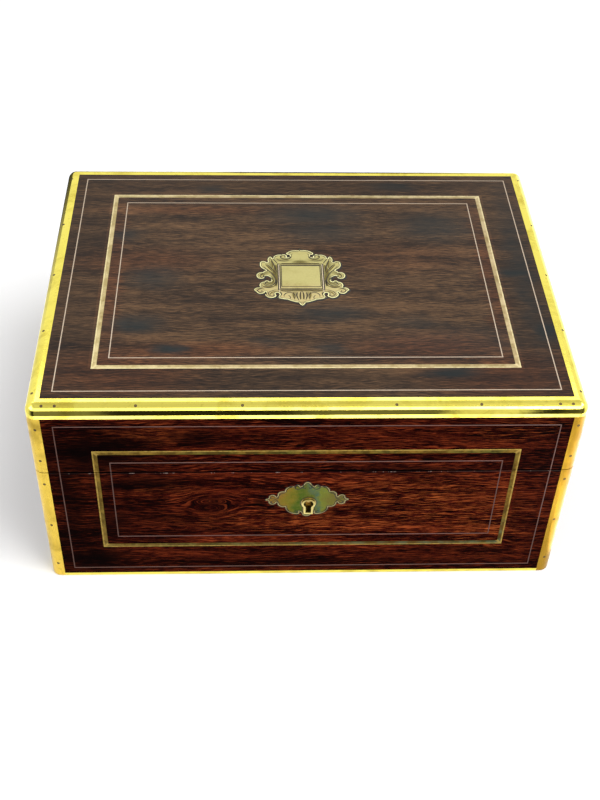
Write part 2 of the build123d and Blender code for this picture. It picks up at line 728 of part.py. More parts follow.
def glass_vessel(x0, x1, y0, y1):
    """A square cut-glass vessel with a neck for its top; returns the glass and its plated top."""
    shoulder = VESSEL_TOP - SHOULDER
    shoulder_chamfer = 2.0
    body = block(x0, x1, y0, y1, FLOOR_Z, shoulder)
    body = fillet(body.edges().filter_by(Axis.Z), VESSEL_RADIUS)
    body = chamfer(body.edges().group_by(Axis.Z)[-1], shoulder_chamfer)
    middle = Pos((x0 + x1) / 2, (y0 + y1) / 2, 0)

    def upright(grow, radius, z_foot, z_top):
        """A rounded block on the neck's plan, grown by that much on every side."""
        width = x1 - x0 - 2 * NECK_INSET + 2 * grow
        depth = y1 - y0 - 2 * NECK_INSET + 2 * grow
        plan = RectangleRounded(width, depth, radius)
        return middle * Pos(0, 0, z_foot) * extrude(plan, z_top - z_foot)

    neck_top = shoulder + NECK_HEIGHT
    neck = upright(0, NECK_RADIUS, shoulder, neck_top)
    hollow = upright(-NECK_WALL, NECK_RADIUS - 1, FLOOR_Z + GLASS_FLOOR, neck_top + 1)
    cap = upright(CAP_OVERHANG, VESSEL_RADIUS, shoulder + CAP_PLAY, VESSEL_TOP)
    cap = fillet(cap.edges().group_by(Axis.Z)[-1], NECK_RADIUS)
    return body + neck - hollow, cap - upright(0, NECK_RADIUS, shoulder, neck_top)


def vessels():
    """Three bottles along the back and a long jar at the back of each side column."""
    for index in range(BOTTLES):
        x0 = DIVIDER - COLUMN_X + index * BOTTLE_PITCH + VESSEL_GAP
        x1 = x0 + BOTTLE_PITCH - DIVIDER - 2 * VESSEL_GAP
        glass, top = glass_vessel(x0, x1, BACK_Y + VESSEL_GAP, LINED_D - VESSEL_GAP)
        save(f"bottle_{index + 1}", glass)
        save(f"bottle_top_{index + 1}", top)
    jar, lid = glass_vessel(
        COLUMN_X + VESSEL_GAP, LINED_W - VESSEL_GAP, VESSEL_GAP - DIVIDER, LINED_D - VESSEL_GAP
    )
    save("long_jar_right", jar)
    save("long_jar_lid_right", lid)
    save("long_jar_left", mirror(jar, about=Plane.YZ))
    save("long_jar_lid_left", mirror(lid, about=Plane.YZ))


def base_inside():
    save("rim_liner", rim_liner())
    save("compartment_lining", block(-LINED_W, LINED_W, -LINED_D, LINED_D, BOTTOM_BOARD, FLOOR_Z))
    save("compartment_dividers", compartment_dividers())
    save("tray", tray())
    save("tray_lining", tray_lining())
    vessels()


base_boards()
lid_boards()
veneers_and_inlay()
brass_edging()
hinges()
lock()
lid_inside()
base_inside()
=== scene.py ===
import bpy
import bmesh
import math
from mathutils import Matrix, Vector


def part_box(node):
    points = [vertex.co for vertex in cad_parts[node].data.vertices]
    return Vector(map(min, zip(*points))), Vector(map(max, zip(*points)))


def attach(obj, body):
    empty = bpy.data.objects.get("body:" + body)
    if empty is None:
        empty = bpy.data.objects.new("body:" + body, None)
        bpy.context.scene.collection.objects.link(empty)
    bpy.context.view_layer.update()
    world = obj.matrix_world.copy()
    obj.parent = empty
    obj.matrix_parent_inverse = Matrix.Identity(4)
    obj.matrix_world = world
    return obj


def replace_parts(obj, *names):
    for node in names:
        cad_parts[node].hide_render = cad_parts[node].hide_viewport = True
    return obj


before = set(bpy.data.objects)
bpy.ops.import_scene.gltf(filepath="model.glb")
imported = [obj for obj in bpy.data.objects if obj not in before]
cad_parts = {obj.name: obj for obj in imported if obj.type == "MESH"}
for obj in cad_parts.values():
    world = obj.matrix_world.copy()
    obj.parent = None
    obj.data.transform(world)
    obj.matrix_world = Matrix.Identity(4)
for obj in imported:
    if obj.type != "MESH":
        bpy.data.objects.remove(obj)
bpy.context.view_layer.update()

MM = 0.001
LIFT = 0.02 * MM  # how far a drawn line lies above the metal
WHITE = (1, 1, 1, 1)

# The case, worked out from the frame
HALF_W, HALF_D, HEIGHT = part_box("lid_edge_strips")[1]
SEAM = (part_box("lid_front_veneer")[0][2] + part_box("base_front_veneer")[1][2]) / 2
PLATE_LOW, PLATE_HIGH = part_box("cartouche")
KEY_LOW, KEY_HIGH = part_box("escutcheon")

# The wide brass band's centre line: its middle across the grain, its half length and half height, in mm
TOP_BAND = (0.0, 118.0, 83.35)
FRONT_BAND = (67.65, 117.75, 39.28)
# The field round which the veneer is darker, given the same way
TOP_FIELD = (0.0, 121.0, 86.0)
FRONT_FIELD = (67.7, 121.0, 43.0)


def srgb(red, green, blue):
    """A colour given in 0 to 255, as the linear colour that a shader takes."""
    def linear(v):
        v /= 255
        return v / 12.92 if v <= 0.04045 else ((v + 0.055) / 1.055) ** 2.4
    return (linear(red), linear(green), linear(blue), 1)


# Shader graphs

class Value:
    """What a shader node gives. Sums with plain numbers and other values add nodes to the graph."""

    def __init__(self, shader, socket):
        self.shader = shader
        self.socket = socket

    def operator(name, swapped=False):
        """An operator as a node of the graph, by the node's own name for it."""
        def combined(self, other=0.0):
            return self.shader.math(name, *((other, self) if swapped else (self, other)))
        return combined

    __add__ = operator("ADD")
    __sub__ = operator("SUBTRACT")
    __rsub__ = operator("SUBTRACT", swapped=True)
    __mul__ = operator("MULTIPLY")
    __rtruediv__ = operator("DIVIDE", swapped=True)
    __abs__ = operator("ABSOLUTE")

    def __truediv__(self, number):
        return self * (1 / number)


class Shader:
    """The node graph of a material or of the world, with one short call for each kind of node."""

    def __init__(self, name, of_world=False):
        self.owner = (bpy.data.worlds if of_world else bpy.data.materials).new(name)
        self.owner.use_nodes = True
        self.tree = self.owner.node_tree
        self.tree.nodes.clear()
        self.output = self.tree.nodes.new(f"ShaderNodeOutput{'World' if of_world else 'Material'}")
        self.place = self.node("TexCoord", output="Object")
        self.mm = self.scaled(self.place, 1000, 1000, 1000)

    def feed(self, socket, value):
        if isinstance(value, Value):
            self.tree.links.new(value.socket, socket)
        else:
            socket.default_value = value

    def node(self, kind, feeds=(), output=0, **settings):
        """A new node with its settings, fed by input name or number; gives one of its outputs."""
        node = self.tree.nodes.new(f"ShaderNode{kind}")
        for name, setting in settings.items():
            setattr(node, name, setting)
        for key, value in dict(feeds).items():
            self.feed(node.inputs[key], value)
        return Value(self, node.outputs[output])

    def show(self, value):
        self.feed(self.output.inputs[0], value)

    def surface(self, **values):
        """The principled surface, with the values of its inputs by name."""
        feeds = {name.replace("_", " "): value for name, value in values.items()}
        self.principled = self.node("BsdfPrincipled", feeds)
        self.show(self.principled)

    def bump(self, height, depth_mm, strength=1.0):
        feeds = {"Strength": strength, "Distance": depth_mm * MM, "Height": height}
        self.feed(self.principled.socket.node.inputs["Normal"], self.node("Bump", feeds))

    def scaled(self, vector, x, y, z):
        return self.node("VectorMath", {0: vector, 1: (x, y, z)}, operation="MULTIPLY")

    def split(self, vector):
        node = self.node("SeparateXYZ", {0: vector}).socket.node
        return [Value(self, output) for output in node.outputs]

    def joined(self, x, y, z):
        return self.node("CombineXYZ", enumerate((x, y, z)))

    def face(self, along, across):
        """Coordinates in mm along the grain and across it on a face, from the letters of its axes."""
        axes = dict(zip("XYZ", self.split(self.mm)))
        return axes[along], axes[across]

    def math(self, operation, a, b=0.0):
        return self.node("Math", {0: a, 1: b}, operation=operation)

    def noise(self, vector, detail=2.0, roughness=0.5, distortion=0.0):
        feeds = {"Vector": vector, "Scale": 1.0, "Detail": detail, "Roughness": roughness}
        return self.node("TexNoise", {**feeds, "Distortion": distortion})

    def grains(self, sizes_mm, detail=2.0, roughness=0.5, distortion=0.0):
        """Noise in grains of one size, or of three sizes along X, Y and Z."""
        sizes = sizes_mm if isinstance(sizes_mm, tuple) else (sizes_mm,) * 3
        return self.noise(self.scaled(self.mm, *(1 / size for size in sizes)), detail, roughness, distortion)

    def smooth(self, value, low, high, to_low=0.0, to_high=1.0):
        feeds = enumerate((value, low, high, to_low, to_high))
        return self.node("MapRange", feeds, interpolation_type="SMOOTHSTEP")

    def mix(self, factor, a, b, blend="MIX"):
        return self.node("Mix", {"Factor": factor, 6: a, 7: b}, 2, data_type="RGBA", blend_type=blend)

    def tinted(self, colour, tint):
        return self.mix(1.0, colour, tint, "MULTIPLY")

    def ramp(self, value, *stops):
        ramp = self.node("ValToRGB", {0: value})
        elements = ramp.socket.node.color_ramp.elements
        while len(elements) < len(stops):
            elements.new(0.5)
        for element, (position, colour) in zip(elements, stops):
            element.position = position
            element.color = colour
        return ramp


def beyond(length, cross, rectangle):
    """How far a place lies outside a rectangle, along it and across it."""
    middle, half_l, half_c = rectangle
    return abs(length) - half_l, abs(cross - middle) - half_c


def around_eye(length, cross, eye):
    """The grain's height across the face where it flows round a small oval eye."""
    centre_l, centre_c, radius, stretch = eye
    dl = (length - centre_l) / stretch
    dc = cross - centre_c
    push = radius ** 2 / (dl * dl + dc * dc + 0.4 * radius ** 2)
    return dc * (1.0 - push) + centre_c


def spots(s, length, cross, places):
    """Soft oval patches as one value from 0 to 1; each is a centre, two radii and a strength."""
    total = 0.0
    for centre_l, centre_c, radius_l, radius_c, strength in places:
        dl = (length - centre_l) / radius_l
        dc = (cross - centre_c) / radius_c
        reach = s.math("SQRT", dl * dl + dc * dc)
        total = s.math("MAXIMUM", total, s.smooth(reach, 0.15, 1.5, strength, 0.0))
    return total


# Wood

TONE_STOPS = (0.38, 0.47, 0.56, 0.73)  # where the deep, body, middle and light tones stand
BEND_MM, RIPPLE_MM, DRIFT_MM = 9, 1.5, 18  # how far the grain bends and ripples, and patches stray
BROAD_PART, STREAK_PART, FINE_PART = 0.40, 0.42, 0.95  # of the three layers of figure in the tone
SEAM_SHADE_MM = 0.35, 0.8  # from the seam, between which its painted shade ends
SEAM_HIGHLIGHT_BELOW = 0.85  # mm from the seam down to its line of painted highlight
SEAM_HIGHLIGHT_MM = 0.1, 0.3  # from that line's middle, between which it ends
CRACK_MM = 0.08, 0.30  # from a crack's middle, between which it ends


def rosewood(name, along, across, tones, seed=0.0, eye=None, dark=(), dark_colour=None, warm=(),
             warm_colour=None, gloss=0.3, specular=0.3, contrast=1.0, field=None, shade=1.0, cracks=(),
             seam=None, fibre=0.25):
    """French-polished rosewood veneer: short wavy streaks, dark pores and cloudy patches.

    field is a rectangle, outside which the veneer is darker by the shade. cracks are hair lines along
    the grain, each a start, an end and a height across it. seam is the height of a joint, with painted
    shade along both its edges and a pale painted highlight below it in places. fibre is the strength of
    the thin pale fibres.
    """
    s = Shader(name)
    length, cross = s.face(along, across)

    def figure(long_mm, wide_mm, line, number, detail=2, roughness=0.55):
        """Noise drawn out along the grain; its number sets it apart from the others."""
        return s.noise(s.joined(length / long_mm, line / wide_mm, seed + number), detail, roughness)

    line = around_eye(length, cross, eye) if eye else cross
    bend = (figure(60, 22, cross, 1.0) - 0.5) * BEND_MM
    ripple = (figure(9, 6, cross, 2.0) - 0.5) * RIPPLE_MM
    line = line + (bend + ripple)
    broad = figure(90, 9, line, 3.0)
    streak = figure(20, 0.85, line, 4.0, 3, 0.65)
    fine = figure(8, 0.38, line, 5.0, 3, 0.7)
    tone = (broad - 0.5) * (BROAD_PART * contrast) + (streak - 0.5) * (STREAK_PART * contrast)
    tone = tone + (fine - 0.5) * (FINE_PART * contrast) + 0.5
    tones = [srgb(*tone) for tone in tones]
    deep, light = tones[0], tones[-1]
    colour = s.ramp(tone, *zip(TONE_STOPS, tones))
    fibres = s.smooth(figure(17, 0.60, line, 9.0, 1), 0.56, 0.63) * s.smooth(tone, 0.40, 0.52)
    colour = s.mix(fibres * fibre, colour, light)
    drift = (figure(26, 12, cross, 7.0, 3) - 0.5) * DRIFT_MM
    near = length + drift, cross + drift * 0.35
    if warm:
        colour = s.mix(spots(s, *near, warm), colour, s.tinted(colour, warm_colour))
    if dark:
        colour = s.mix(spots(s, *near, dark), colour, srgb(*dark_colour))
    pores = s.smooth(figure(7, 0.34, line, 6.0, 1), 0.58, 0.68)
    colour = s.mix(pores * 0.75, colour, deep)
    if field:
        outside = s.smooth(s.math("MAXIMUM", *beyond(length, cross, field)), 0.0, 0.5)
        colour = s.mix(outside, colour, s.tinted(colour, (shade, shade, shade, 1)))
    for start, end, height in cracks:
        off_line = abs(cross + ripple * 0.5 - height)
        off_end = abs(length - (start + end) / 2) - (end - start) / 2
        crack = s.smooth(off_line, *CRACK_MM, 0.8, 0.0) * s.smooth(off_end, -6.0, 0.0, 1.0, 0.0)
        colour = s.mix(crack, colour, deep)
    if seam:
        above = cross - seam
        # Painted shade in the joint: near black along both sides of the seam.
        colour = s.mix(s.smooth(abs(above), *SEAM_SHADE_MM, 0.95, 0.0), colour, srgb(4, 1, 1))
        # Painted highlight: a pale line along the lower edge of the joint, broken in places and steadier
        # toward the right.
        seam_highlight = s.smooth(abs(above + SEAM_HIGHLIGHT_BELOW), *SEAM_HIGHLIGHT_MM, 1.0, 0.0)
        broken = s.smooth(figure(3, 40, cross, 8.0, 3, 0.7), 0.56, 0.68, 0.02, 0.85)
        broken = broken + s.smooth(length, 60.0, 100.0, 0.0, 0.08)
        colour = s.mix(seam_highlight * broken, colour, srgb(170, 148, 140))
    rough = s.smooth(fine, 0.3, 0.7, gloss, gloss + 0.12)
    s.surface(Base_Color=colour, Roughness=rough, Specular_IOR_Level=specular)
    s.bump(fine * 0.3 - pores, 0.02, 0.3)
    return s.owner


# Metal

RIGHT_SHADE_STRAY_MM, COPPERY_STRAY_MM = 160, 12  # how far the edges of the painted shade on the right and of the coppery parts wander
COPPERY_MM = -6.0, -18.0  # from the case's middle toward the front, where the copper tint grows
# On the lines, in mm outward from the wide band's centre line
ARRIS_HIGHLIGHT_MM = 0.45, 1.0
INNER_SIDE_MM = -1.35, -0.95
FINE_LINES_MM = 2.2, 3.0
MITRE_MM = 0.5, 1.6


def metal(s, colour, rough):
    s.surface(Base_Color=colour, Metallic=1.0, Roughness=rough)


def brass(name, bright, tarnish, shine=0.3, spread=0.1, brushed=1.2, worn=0.5, dents=0.04, right_shade=None,
          shaded=(), shade_colour=None, coppery=None):
    """Yellow brass with cloudy tarnish, fine rubbing marks and shallow dents.

    brushed is the size of the rubbing marks. dull darkens it toward the right, as painted shade; coppery
    tints an upward face toward the front, and shaded lists soft patches of painted shade on it, as spots
    does.
    """
    s = Shader(name)
    x, y, z = s.split(s.mm)
    cloud = s.grains(22, 4, 0.6, 0.6)
    grit = s.grains(3.1, 3, 0.6)
    rub = s.grains(brushed, 2, 0.7)
    stain = s.smooth(cloud, 0.44, 0.70) * worn
    flecks = s.smooth(grit, 0.60, 0.74) * (0.5 * worn)
    colour = s.mix(s.math("MAXIMUM", stain, flecks), (*bright, 1), (*tarnish, 1))
    # Painted shade: the brass grows darker toward the right side of the case.
    if right_shade:
        lit_x, shaded_x, most, right_shade_colour = right_shade
        patchy = x + (cloud - 0.5) * RIGHT_SHADE_STRAY_MM
        colour = s.mix(s.smooth(patchy, lit_x, shaded_x, 0.0, most), colour, (*right_shade_colour, 1))
    if coppery:
        patchy = y + (grit - 0.5) * COPPERY_STRAY_MM
        colour = s.mix(s.smooth(patchy, *COPPERY_MM, 0.0, 0.5), colour, (*coppery, 1))
    # Painted shade in soft dark patches.
    if shaded:
        colour = s.mix(spots(s, x, y, shaded), colour, (*shade_colour, 1))
    metal(s, colour, s.smooth(rub, 0.25, 0.75, shine, shine + spread) + stain * 0.15)
    s.bump(rub * 0.35 + grit * 0.8, dents, 0.35)
    return s.owner


def line_brass(name, axes, band, tones, fine, edge, body, green=None, upright=1.0):
    """Flush brass lines: two fine ones and a wide band, whose centre line is given.

    The wide band has painted highlights on its outer arrises, a body worn darker by that much, mitres
    worn pale, and painted light that makes it paler toward the left. green is the tone of its lower right
    part, and upright the shade of the fine lines that run across the grain.
    """
    s = Shader(name)
    length, cross = s.face(*axes)
    middle, half_l, half_c = band
    off_l, off_c = beyond(length, cross, band)
    outward = s.math("MAXIMUM", off_l, off_c)
    cloud = s.grains(17, 4, 0.6, 0.6)
    grit = s.grains(2.6, 3, 0.6)
    clean, dim, left_light = ((*tone, 1) for tone in tones)
    colour = s.mix(s.smooth(cloud, 0.42, 0.66), clean, dim)
    # Painted light: the band grows paler toward the left.
    colour = s.mix(s.smooth(length, -110.0, -40.0, 1.0, 0.0) * 0.6, colour, left_light)
    colour = s.mix(s.smooth(grit, 0.56, 0.72, 0.0, 0.5), colour, dim)
    darker = s.tinted(colour, (body, body * 0.95, body * 0.8, 1))
    if green:
        low = s.smooth(cross, middle - half_c + 2, middle - half_c + 26, 0.85, 0.0)
        colour = s.mix(low * s.smooth(length, -90.0, 60.0, 0.25, 1.0), colour, (*green, 1))
    colour = s.mix(s.smooth(s.grains(9, 4, 0.65), 0.40, 0.62), darker, colour)
    # Painted highlight along the band's outer arrises.
    arris_highlight = s.smooth(outward, *ARRIS_HIGHLIGHT_MM) * s.smooth(grit, 0.35, 0.6, 0.35, 0.95)
    colour = s.mix(arris_highlight, colour, (*edge, 1))
    colour = s.mix(s.smooth(outward, *INNER_SIDE_MM, 0.6, 0.0), colour, darker)
    mitre = s.smooth(abs(off_l - off_c), *MITRE_MM, 0.6, 0.0)
    colour = s.mix(mitre, colour, (*edge, 1))
    across_grain = s.smooth(off_l - off_c, -1.0, 1.0)
    fine_tone = s.mix(across_grain, (*fine, 1), (*(upright * part for part in fine), 1))
    colour = s.mix(s.smooth(abs(outward), *FINE_LINES_MM), colour, fine_tone)
    metal(s, colour, s.smooth(grit, 0.3, 0.7, 0.3, 0.5))
    s.bump(grit, 0.03, 0.3)
    return s.owner


def key_brass(name):
    """The escutcheon's brass, toned gold, green and blue-green by old lacquer."""
    s = Shader(name)
    reach = 24.0  # mm from the middle to the tips
    wobble = (s.grains(7, 3, 0.6) - 0.5) * (0.75 * reach)
    along = s.smooth(s.split(s.mm)[0] + wobble, -reach, reach)
    colour = s.ramp(
        along,
        (0.06, (0.24, 0.130, 0.020, 1)), (0.20, (0.19, 0.150, 0.014, 1)), (0.36, (0.060, 0.105, 0.008, 1)),
        (0.54, (0.10, 0.12, 0.018, 1)), (0.67, (0.070, 0.125, 0.070, 1)), (0.77, (0.16, 0.185, 0.026, 1)),
        (0.93, (0.15, 0.125, 0.025, 1)),
    )
    mottle = s.grains(2.2, 3, 0.6)
    colour = s.mix(s.smooth(mottle, 0.40, 0.75, 0.0, 0.35), colour, (0.20, 0.185, 0.035, 1))
    metal(s, colour, s.smooth(mottle, 0.3, 0.7, 0.26, 0.40))
    s.bump(mottle, 0.03, 0.3)
    return s.owner


def silver(name):
    """Silver plate with brownish tarnish and fine wavy turning lines."""
    s = Shader(name)
    cloud = s.grains(17, 4, 0.6, 0.4)
    rub = s.grains((12, 0.5, 0.5), 2, 0.7)
    colour = s.mix(s.smooth(cloud, 0.45, 0.72, 0.0, 0.55), srgb(226, 224, 216), srgb(158, 146, 120))
    metal(s, colour, s.smooth(rub, 0.3, 0.7, 0.14, 0.26))
    x, y, z = s.split(s.mm)
    wave = s.math("SINE", y * 2.1) * 0.9
    turned = s.math("SINE", x * 7.0 + wave)
    s.bump(turned + rub * 0.4, 0.05, 0.35)
    return s.owner


def steel(name):
    """Blued steel with a little brown oxide."""
    s = Shader(name)
    metal(s, s.mix(s.smooth(s.grains(5, 3, 0.6), 0.35, 0.7), srgb(74, 82, 104), srgb(120, 112, 104)), 0.34)
    return s.owner


def looking_glass(name):
    """Old silvering, clean in the middle and foxed at random."""
    s = Shader(name)
    haze = s.grains(40, 4, 0.6, 0.8)
    fox = s.smooth(s.grains(4, 3, 0.6), 0.70, 0.76) * s.smooth(haze, 0.45, 0.6)
    colour = s.mix(fox, srgb(228, 232, 230), srgb(120, 108, 90))
    metal(s, colour, s.smooth(haze, 0.4, 0.8, 0.02, 0.06))
    return s.owner


# Velvet, glass and grime

def velvet(name, pile, shade):
    """Short-pile velvet, brushed in different directions, with a pale sheen at grazing angles."""
    s = Shader(name)
    crush = s.grains((26, 17, 17), 3, 0.5, 0.6)
    nap = s.grains(0.35, 2, 0.7)
    colour = s.mix(s.smooth(crush, 0.30, 0.70), shade, pile)
    colour = s.mix(s.smooth(nap, 0.35, 0.70, 0.0, 0.45), colour, shade)
    sheen = {"Sheen_Weight": 0.8, "Sheen_Roughness": 0.35, "Sheen_Tint": (0.95, 0.55, 0.62, 1)}
    s.surface(Base_Color=colour, Roughness=0.95, **sheen)
    s.bump(nap * 0.4 + crush * 0.8, 0.5, 0.5)
    return s.owner


def glass(name):
    """Clear glass with a faint ripple."""
    s = Shader(name)
    s.surface(Base_Color=srgb(238, 246, 242), Roughness=0.03, Transmission_Weight=1.0, IOR=1.52)
    s.bump(s.grains(9), 0.05, 0.2)
    return s.owner


def patina(name, colour, other):
    """The dark wax and tarnish that fills engraved lines and stands round pins, and the dark of a painted
    shadow.
    """
    s = Shader(name)
    mixed = s.mix(s.smooth(s.grains(1.7, 3, 0.6), 0.35, 0.7), srgb(*colour), srgb(*other))
    s.surface(Base_Color=mixed, Roughness=0.7)
    return s.owner


# Finishes

TOP_ROSEWOOD = rosewood(
    "rosewood_top", "X", "Y",
    ((28, 19, 12), (54, 39, 27), (82, 60, 40), (124, 93, 64)),
    dark=(
        (8, 62, 34, 12, 0.75), (14, 44, 30, 12, 0.6), (86, 50, 26, 17, 0.65), (63, 95, 17, 6, 0.7),
        (-57, 92, 10, 5, 0.7), (-108, 41, 10, 7, 0.6), (-89, -3, 17, 12, 0.7), (-99, -47, 17, 9, 0.85),
        (-76, -68, 10, 5, 0.95), (15, -37, 24, 9, 0.65), (15, -68, 12, 6, 0.7), (-22, -63, 14, 5, 0.45),
        (65, -46, 18, 8, 0.4), (80, -89, 16, 5, 0.95), (131, 2, 12, 6, 0.95), (139, -53, 9, 11, 0.95),
        (134, 10, 8, 90, 0.6), (80, -62, 60, 14, 0.35),
    ),
    dark_colour=(28, 36, 37),
    warm=((115, -92, 50, 26, 0.8), (-105, -88, 50, 24, 0.8), (70, -68, 50, 14, 0.9), (-100, 14, 44, 14, 0.6),
          (55, 18, 60, 16, 0.35), (-70, -70, 60, 8, 0.7), (-70, 68, 60, 6, 0.5), (114, 0, 7, 80, 0.7),
          (-114, 0, 7, 80, 0.7)),
    warm_colour=(1.16, 0.74, 0.58, 1),
    gloss=0.36, specular=0.12, contrast=0.95, field=TOP_FIELD, shade=0.68,
    cracks=((-150, 20, -9.5), (40, 150, -12), (-40, 110, 97)),
)
FRONT_ROSEWOOD = rosewood(
    "rosewood_front", "X", "Z",
    ((6, 0, 0), (27, 2, 1), (56, 8, 5), (140, 58, 28)),
    seed=40, eye=(-55, 64, 8, 1.9),
    dark=(
        (-125, 16, 26, 16, 0.9), (-62, 119, 19, 8, 0.75), (-25, 66, 4, 10, 0.7), (-118, 106, 44, 22, 0.92),
        (20, 96, 60, 5, 0.4), (120, 98, 22, 6, 0.5), (0, 10, 160, 5, 0.4), (-134, 60, 10, 60, 0.75),
        (-112, 50, 16, 22, 0.8), (-88, 36, 26, 8, 0.6), (-92, 82, 34, 9, 0.85), (-140, 20, 20, 40, 0.7),
        (-80, 100, 30, 6, 0.5), (60, 92, 40, 4, 0.5), (-55, 64, 22, 9, 0.55), (-100, 56, 40, 16, 0.6),
    ),
    dark_colour=(7, 1, 1),
    warm=((-90, 121, 22, 8, 0.6), (-82, 76, 22, 6, 0.4), (10, 48, 80, 12, 0.7), (62, 66, 54, 22, 0.95),
          (-50, 46, 30, 6, 0.4), (108, 46, 26, 26, 0.8), (118, 122, 26, 8, 0.7)),
    warm_colour=(1.85, 2.7, 2.1, 1),
    specular=0.006, contrast=1.12, fibre=0.7, field=FRONT_FIELD, shade=0.74, seam=SEAM / MM,
)
SIDE_ROSEWOOD = rosewood(
    "rosewood_sides", "Y", "Z",
    ((18, 4, 3), (42, 12, 7), (72, 27, 13), (132, 72, 36)),
    seed=80.0, dark=((-30, 30, 40, 14, 0.7), (60, 90, 30, 12, 0.6)), dark_colour=(15, 4, 3),
    specular=0.12,
)
BACK_ROSEWOOD = rosewood(
    "rosewood_back", "X", "Z",
    ((18, 4, 3), (42, 12, 7), (72, 27, 13), (130, 70, 36)),
    seed=120.0, eye=(40.0, 52.0, 8.0, 2.2), dark=((-80, 40, 44, 16, 0.7), (95, 100, 34, 14, 0.6)),
    dark_colour=(15, 4, 3), gloss=0.32, specular=0.12,
)
MAHOGANY = rosewood(
    "mahogany_boards", "X", "Z",
    ((66, 30, 18), (92, 46, 27), (112, 60, 36), (142, 84, 52)),
    seed=160.0, gloss=0.5, contrast=0.7,
)
FACING = rosewood(
    "rosewood_facing", "X", "Y",
    ((32, 13, 9), (60, 27, 17), (86, 42, 25), (126, 72, 42)),
    seed=200.0, gloss=0.28, specular=0.35,
)
MOULDING = rosewood(
    "rosewood_moulding", "X", "Y",
    ((26, 9, 6), (50, 20, 12), (74, 33, 18), (112, 60, 34)),
    seed=240.0, gloss=0.2, specular=0.4,
)
EDGING = brass(
    "brass_edging", (0.96, 0.83, 0.145), (0.62, 0.48, 0.05), shine=0.05, spread=0.07, worn=0.8, dents=0.08
)
# The corner strips carry painted shade, darker toward the right.
CORNERS = brass(
    "brass_corners", (0.80, 0.56, 0.080), (0.42, 0.27, 0.03), shine=0.2, spread=0.2,
    brushed=(1.5, 1.5, 9), worn=0.8, dents=0.10, right_shade=(-40.0, 150.0, 0.9, (0.34, 0.18, 0.008)),
)
STRINGING_TOP = line_brass(
    "brass_lines_top", "XY", TOP_BAND,
    tones=((0.54, 0.43, 0.24), (0.42, 0.33, 0.17), (0.62, 0.52, 0.26)),
    fine=(0.50, 0.40, 0.30), edge=(0.76, 0.65, 0.36), body=0.72,
)
# Painted shade: the same brass as the top's lines, in far darker tones, for the dark surroundings that the
# upright front mirrors.
STRINGING_FRONT = line_brass(
    "brass_lines_front", "XZ", FRONT_BAND,
    tones=((0.23, 0.13, 0.018), (0.13, 0.11, 0.018), (0.28, 0.18, 0.030)),
    fine=(0.19, 0.105, 0.088), edge=(0.46, 0.31, 0.07), body=0.40, green=(0.08, 0.10, 0.05), upright=0.6,
)
# The plate is flat; its shaded patches are painted shade for the relief of its scrolls.
PLATE = brass(
    "brass_name_plate", (0.50, 0.45, 0.18), (0.37, 0.31, 0.11), shine=0.32, spread=0.20, worn=0.8,
    shaded=((-16.5, 1, 2.4, 9, 0.9), (14.9, 0, 2.2, 9, 0.85), (-1, 12.6, 5, 1.8, 0.8),
            (-1, -15.2, 13, 1.4, 0.75), (-18.5, 9, 2.2, 5, 0.6), (16.5, 9, 2.2, 5, 0.55),
            (-20, -8, 4.5, 2.5, 0.6), (18, -8, 4.5, 2.5, 0.6), (-11, 14.5, 6, 2, 0.5),
            (9, 14.5, 6, 2, 0.5), (-5, -19, 2, 4, 0.55), (3, -19, 2, 4, 0.55),
            (-22, 2, 3, 2, 0.5), (20, 2, 3, 2, 0.5), (-16, -17, 3, 1.5, 0.5),
            (14, -17, 3, 1.5, 0.5)),
    shade_colour=(0.085, 0.07, 0.016), coppery=(0.56, 0.43, 0.22),
)
# Painted highlight along the name plate's outer edge.
PLATE_EDGE_HIGHLIGHT = brass(
    "brass_name_plate_edge_highlight", (0.84, 0.80, 0.40), (0.44, 0.38, 0.15), shine=0.28, spread=0.15, worn=0.9
)
# Painted highlight: pale bars down the sides of the field's border.
PLATE_BAR_HIGHLIGHT = brass("brass_name_plate_bar_highlights", (0.72, 0.60, 0.44), (0.60, 0.48, 0.32), shine=0.28, spread=0.15)
PLATE_SHADE = brass(
    "brass_name_plate_shade", (0.15, 0.115, 0.03), (0.10, 0.075, 0.02), shine=0.35, spread=0.15
)
KEY_PLATE = key_brass("brass_escutcheon")
KEY_RIM = brass("brass_escutcheon_rim", (0.44, 0.36, 0.15), (0.30, 0.24, 0.09))
NOZZLE = brass("brass_nozzle", (0.78, 0.66, 0.24), (0.34, 0.24, 0.06), shine=0.16, worn=0.9)
PIN_HEAD = brass("brass_pins", (0.20, 0.12, 0.03), (0.09, 0.055, 0.015))
LOCK_BRASS = brass(
    "brass_lock", (0.66, 0.48, 0.17), (0.38, 0.26, 0.09), shine=0.26, spread=0.2, brushed=(14, 0.6, 0.6)
)
STEEL = steel("blued_steel")
SILVER = silver("silver_plate")
GLASS = glass("cut_glass")
MIRROR = looking_glass("looking_glass")
VELVET = velvet("crimson_velvet", srgb(124, 20, 38), srgb(86, 11, 25))
TARNISH = patina("silver_tarnish", (48, 44, 42), (84, 76, 68))
ENGRAVED = patina("engraved_lines", (30, 24, 10), (58, 45, 20))
DARK_ENGRAVED = patina("engraved_lines_dark", (26, 24, 12), (48, 42, 20))
# Dark mastic round inlays and pins; round the name plate it also serves as painted shadow.
MASTIC_AND_SHADOW = patina("dark_mastic_and_shadow", (14, 11, 8), (26, 20, 14))

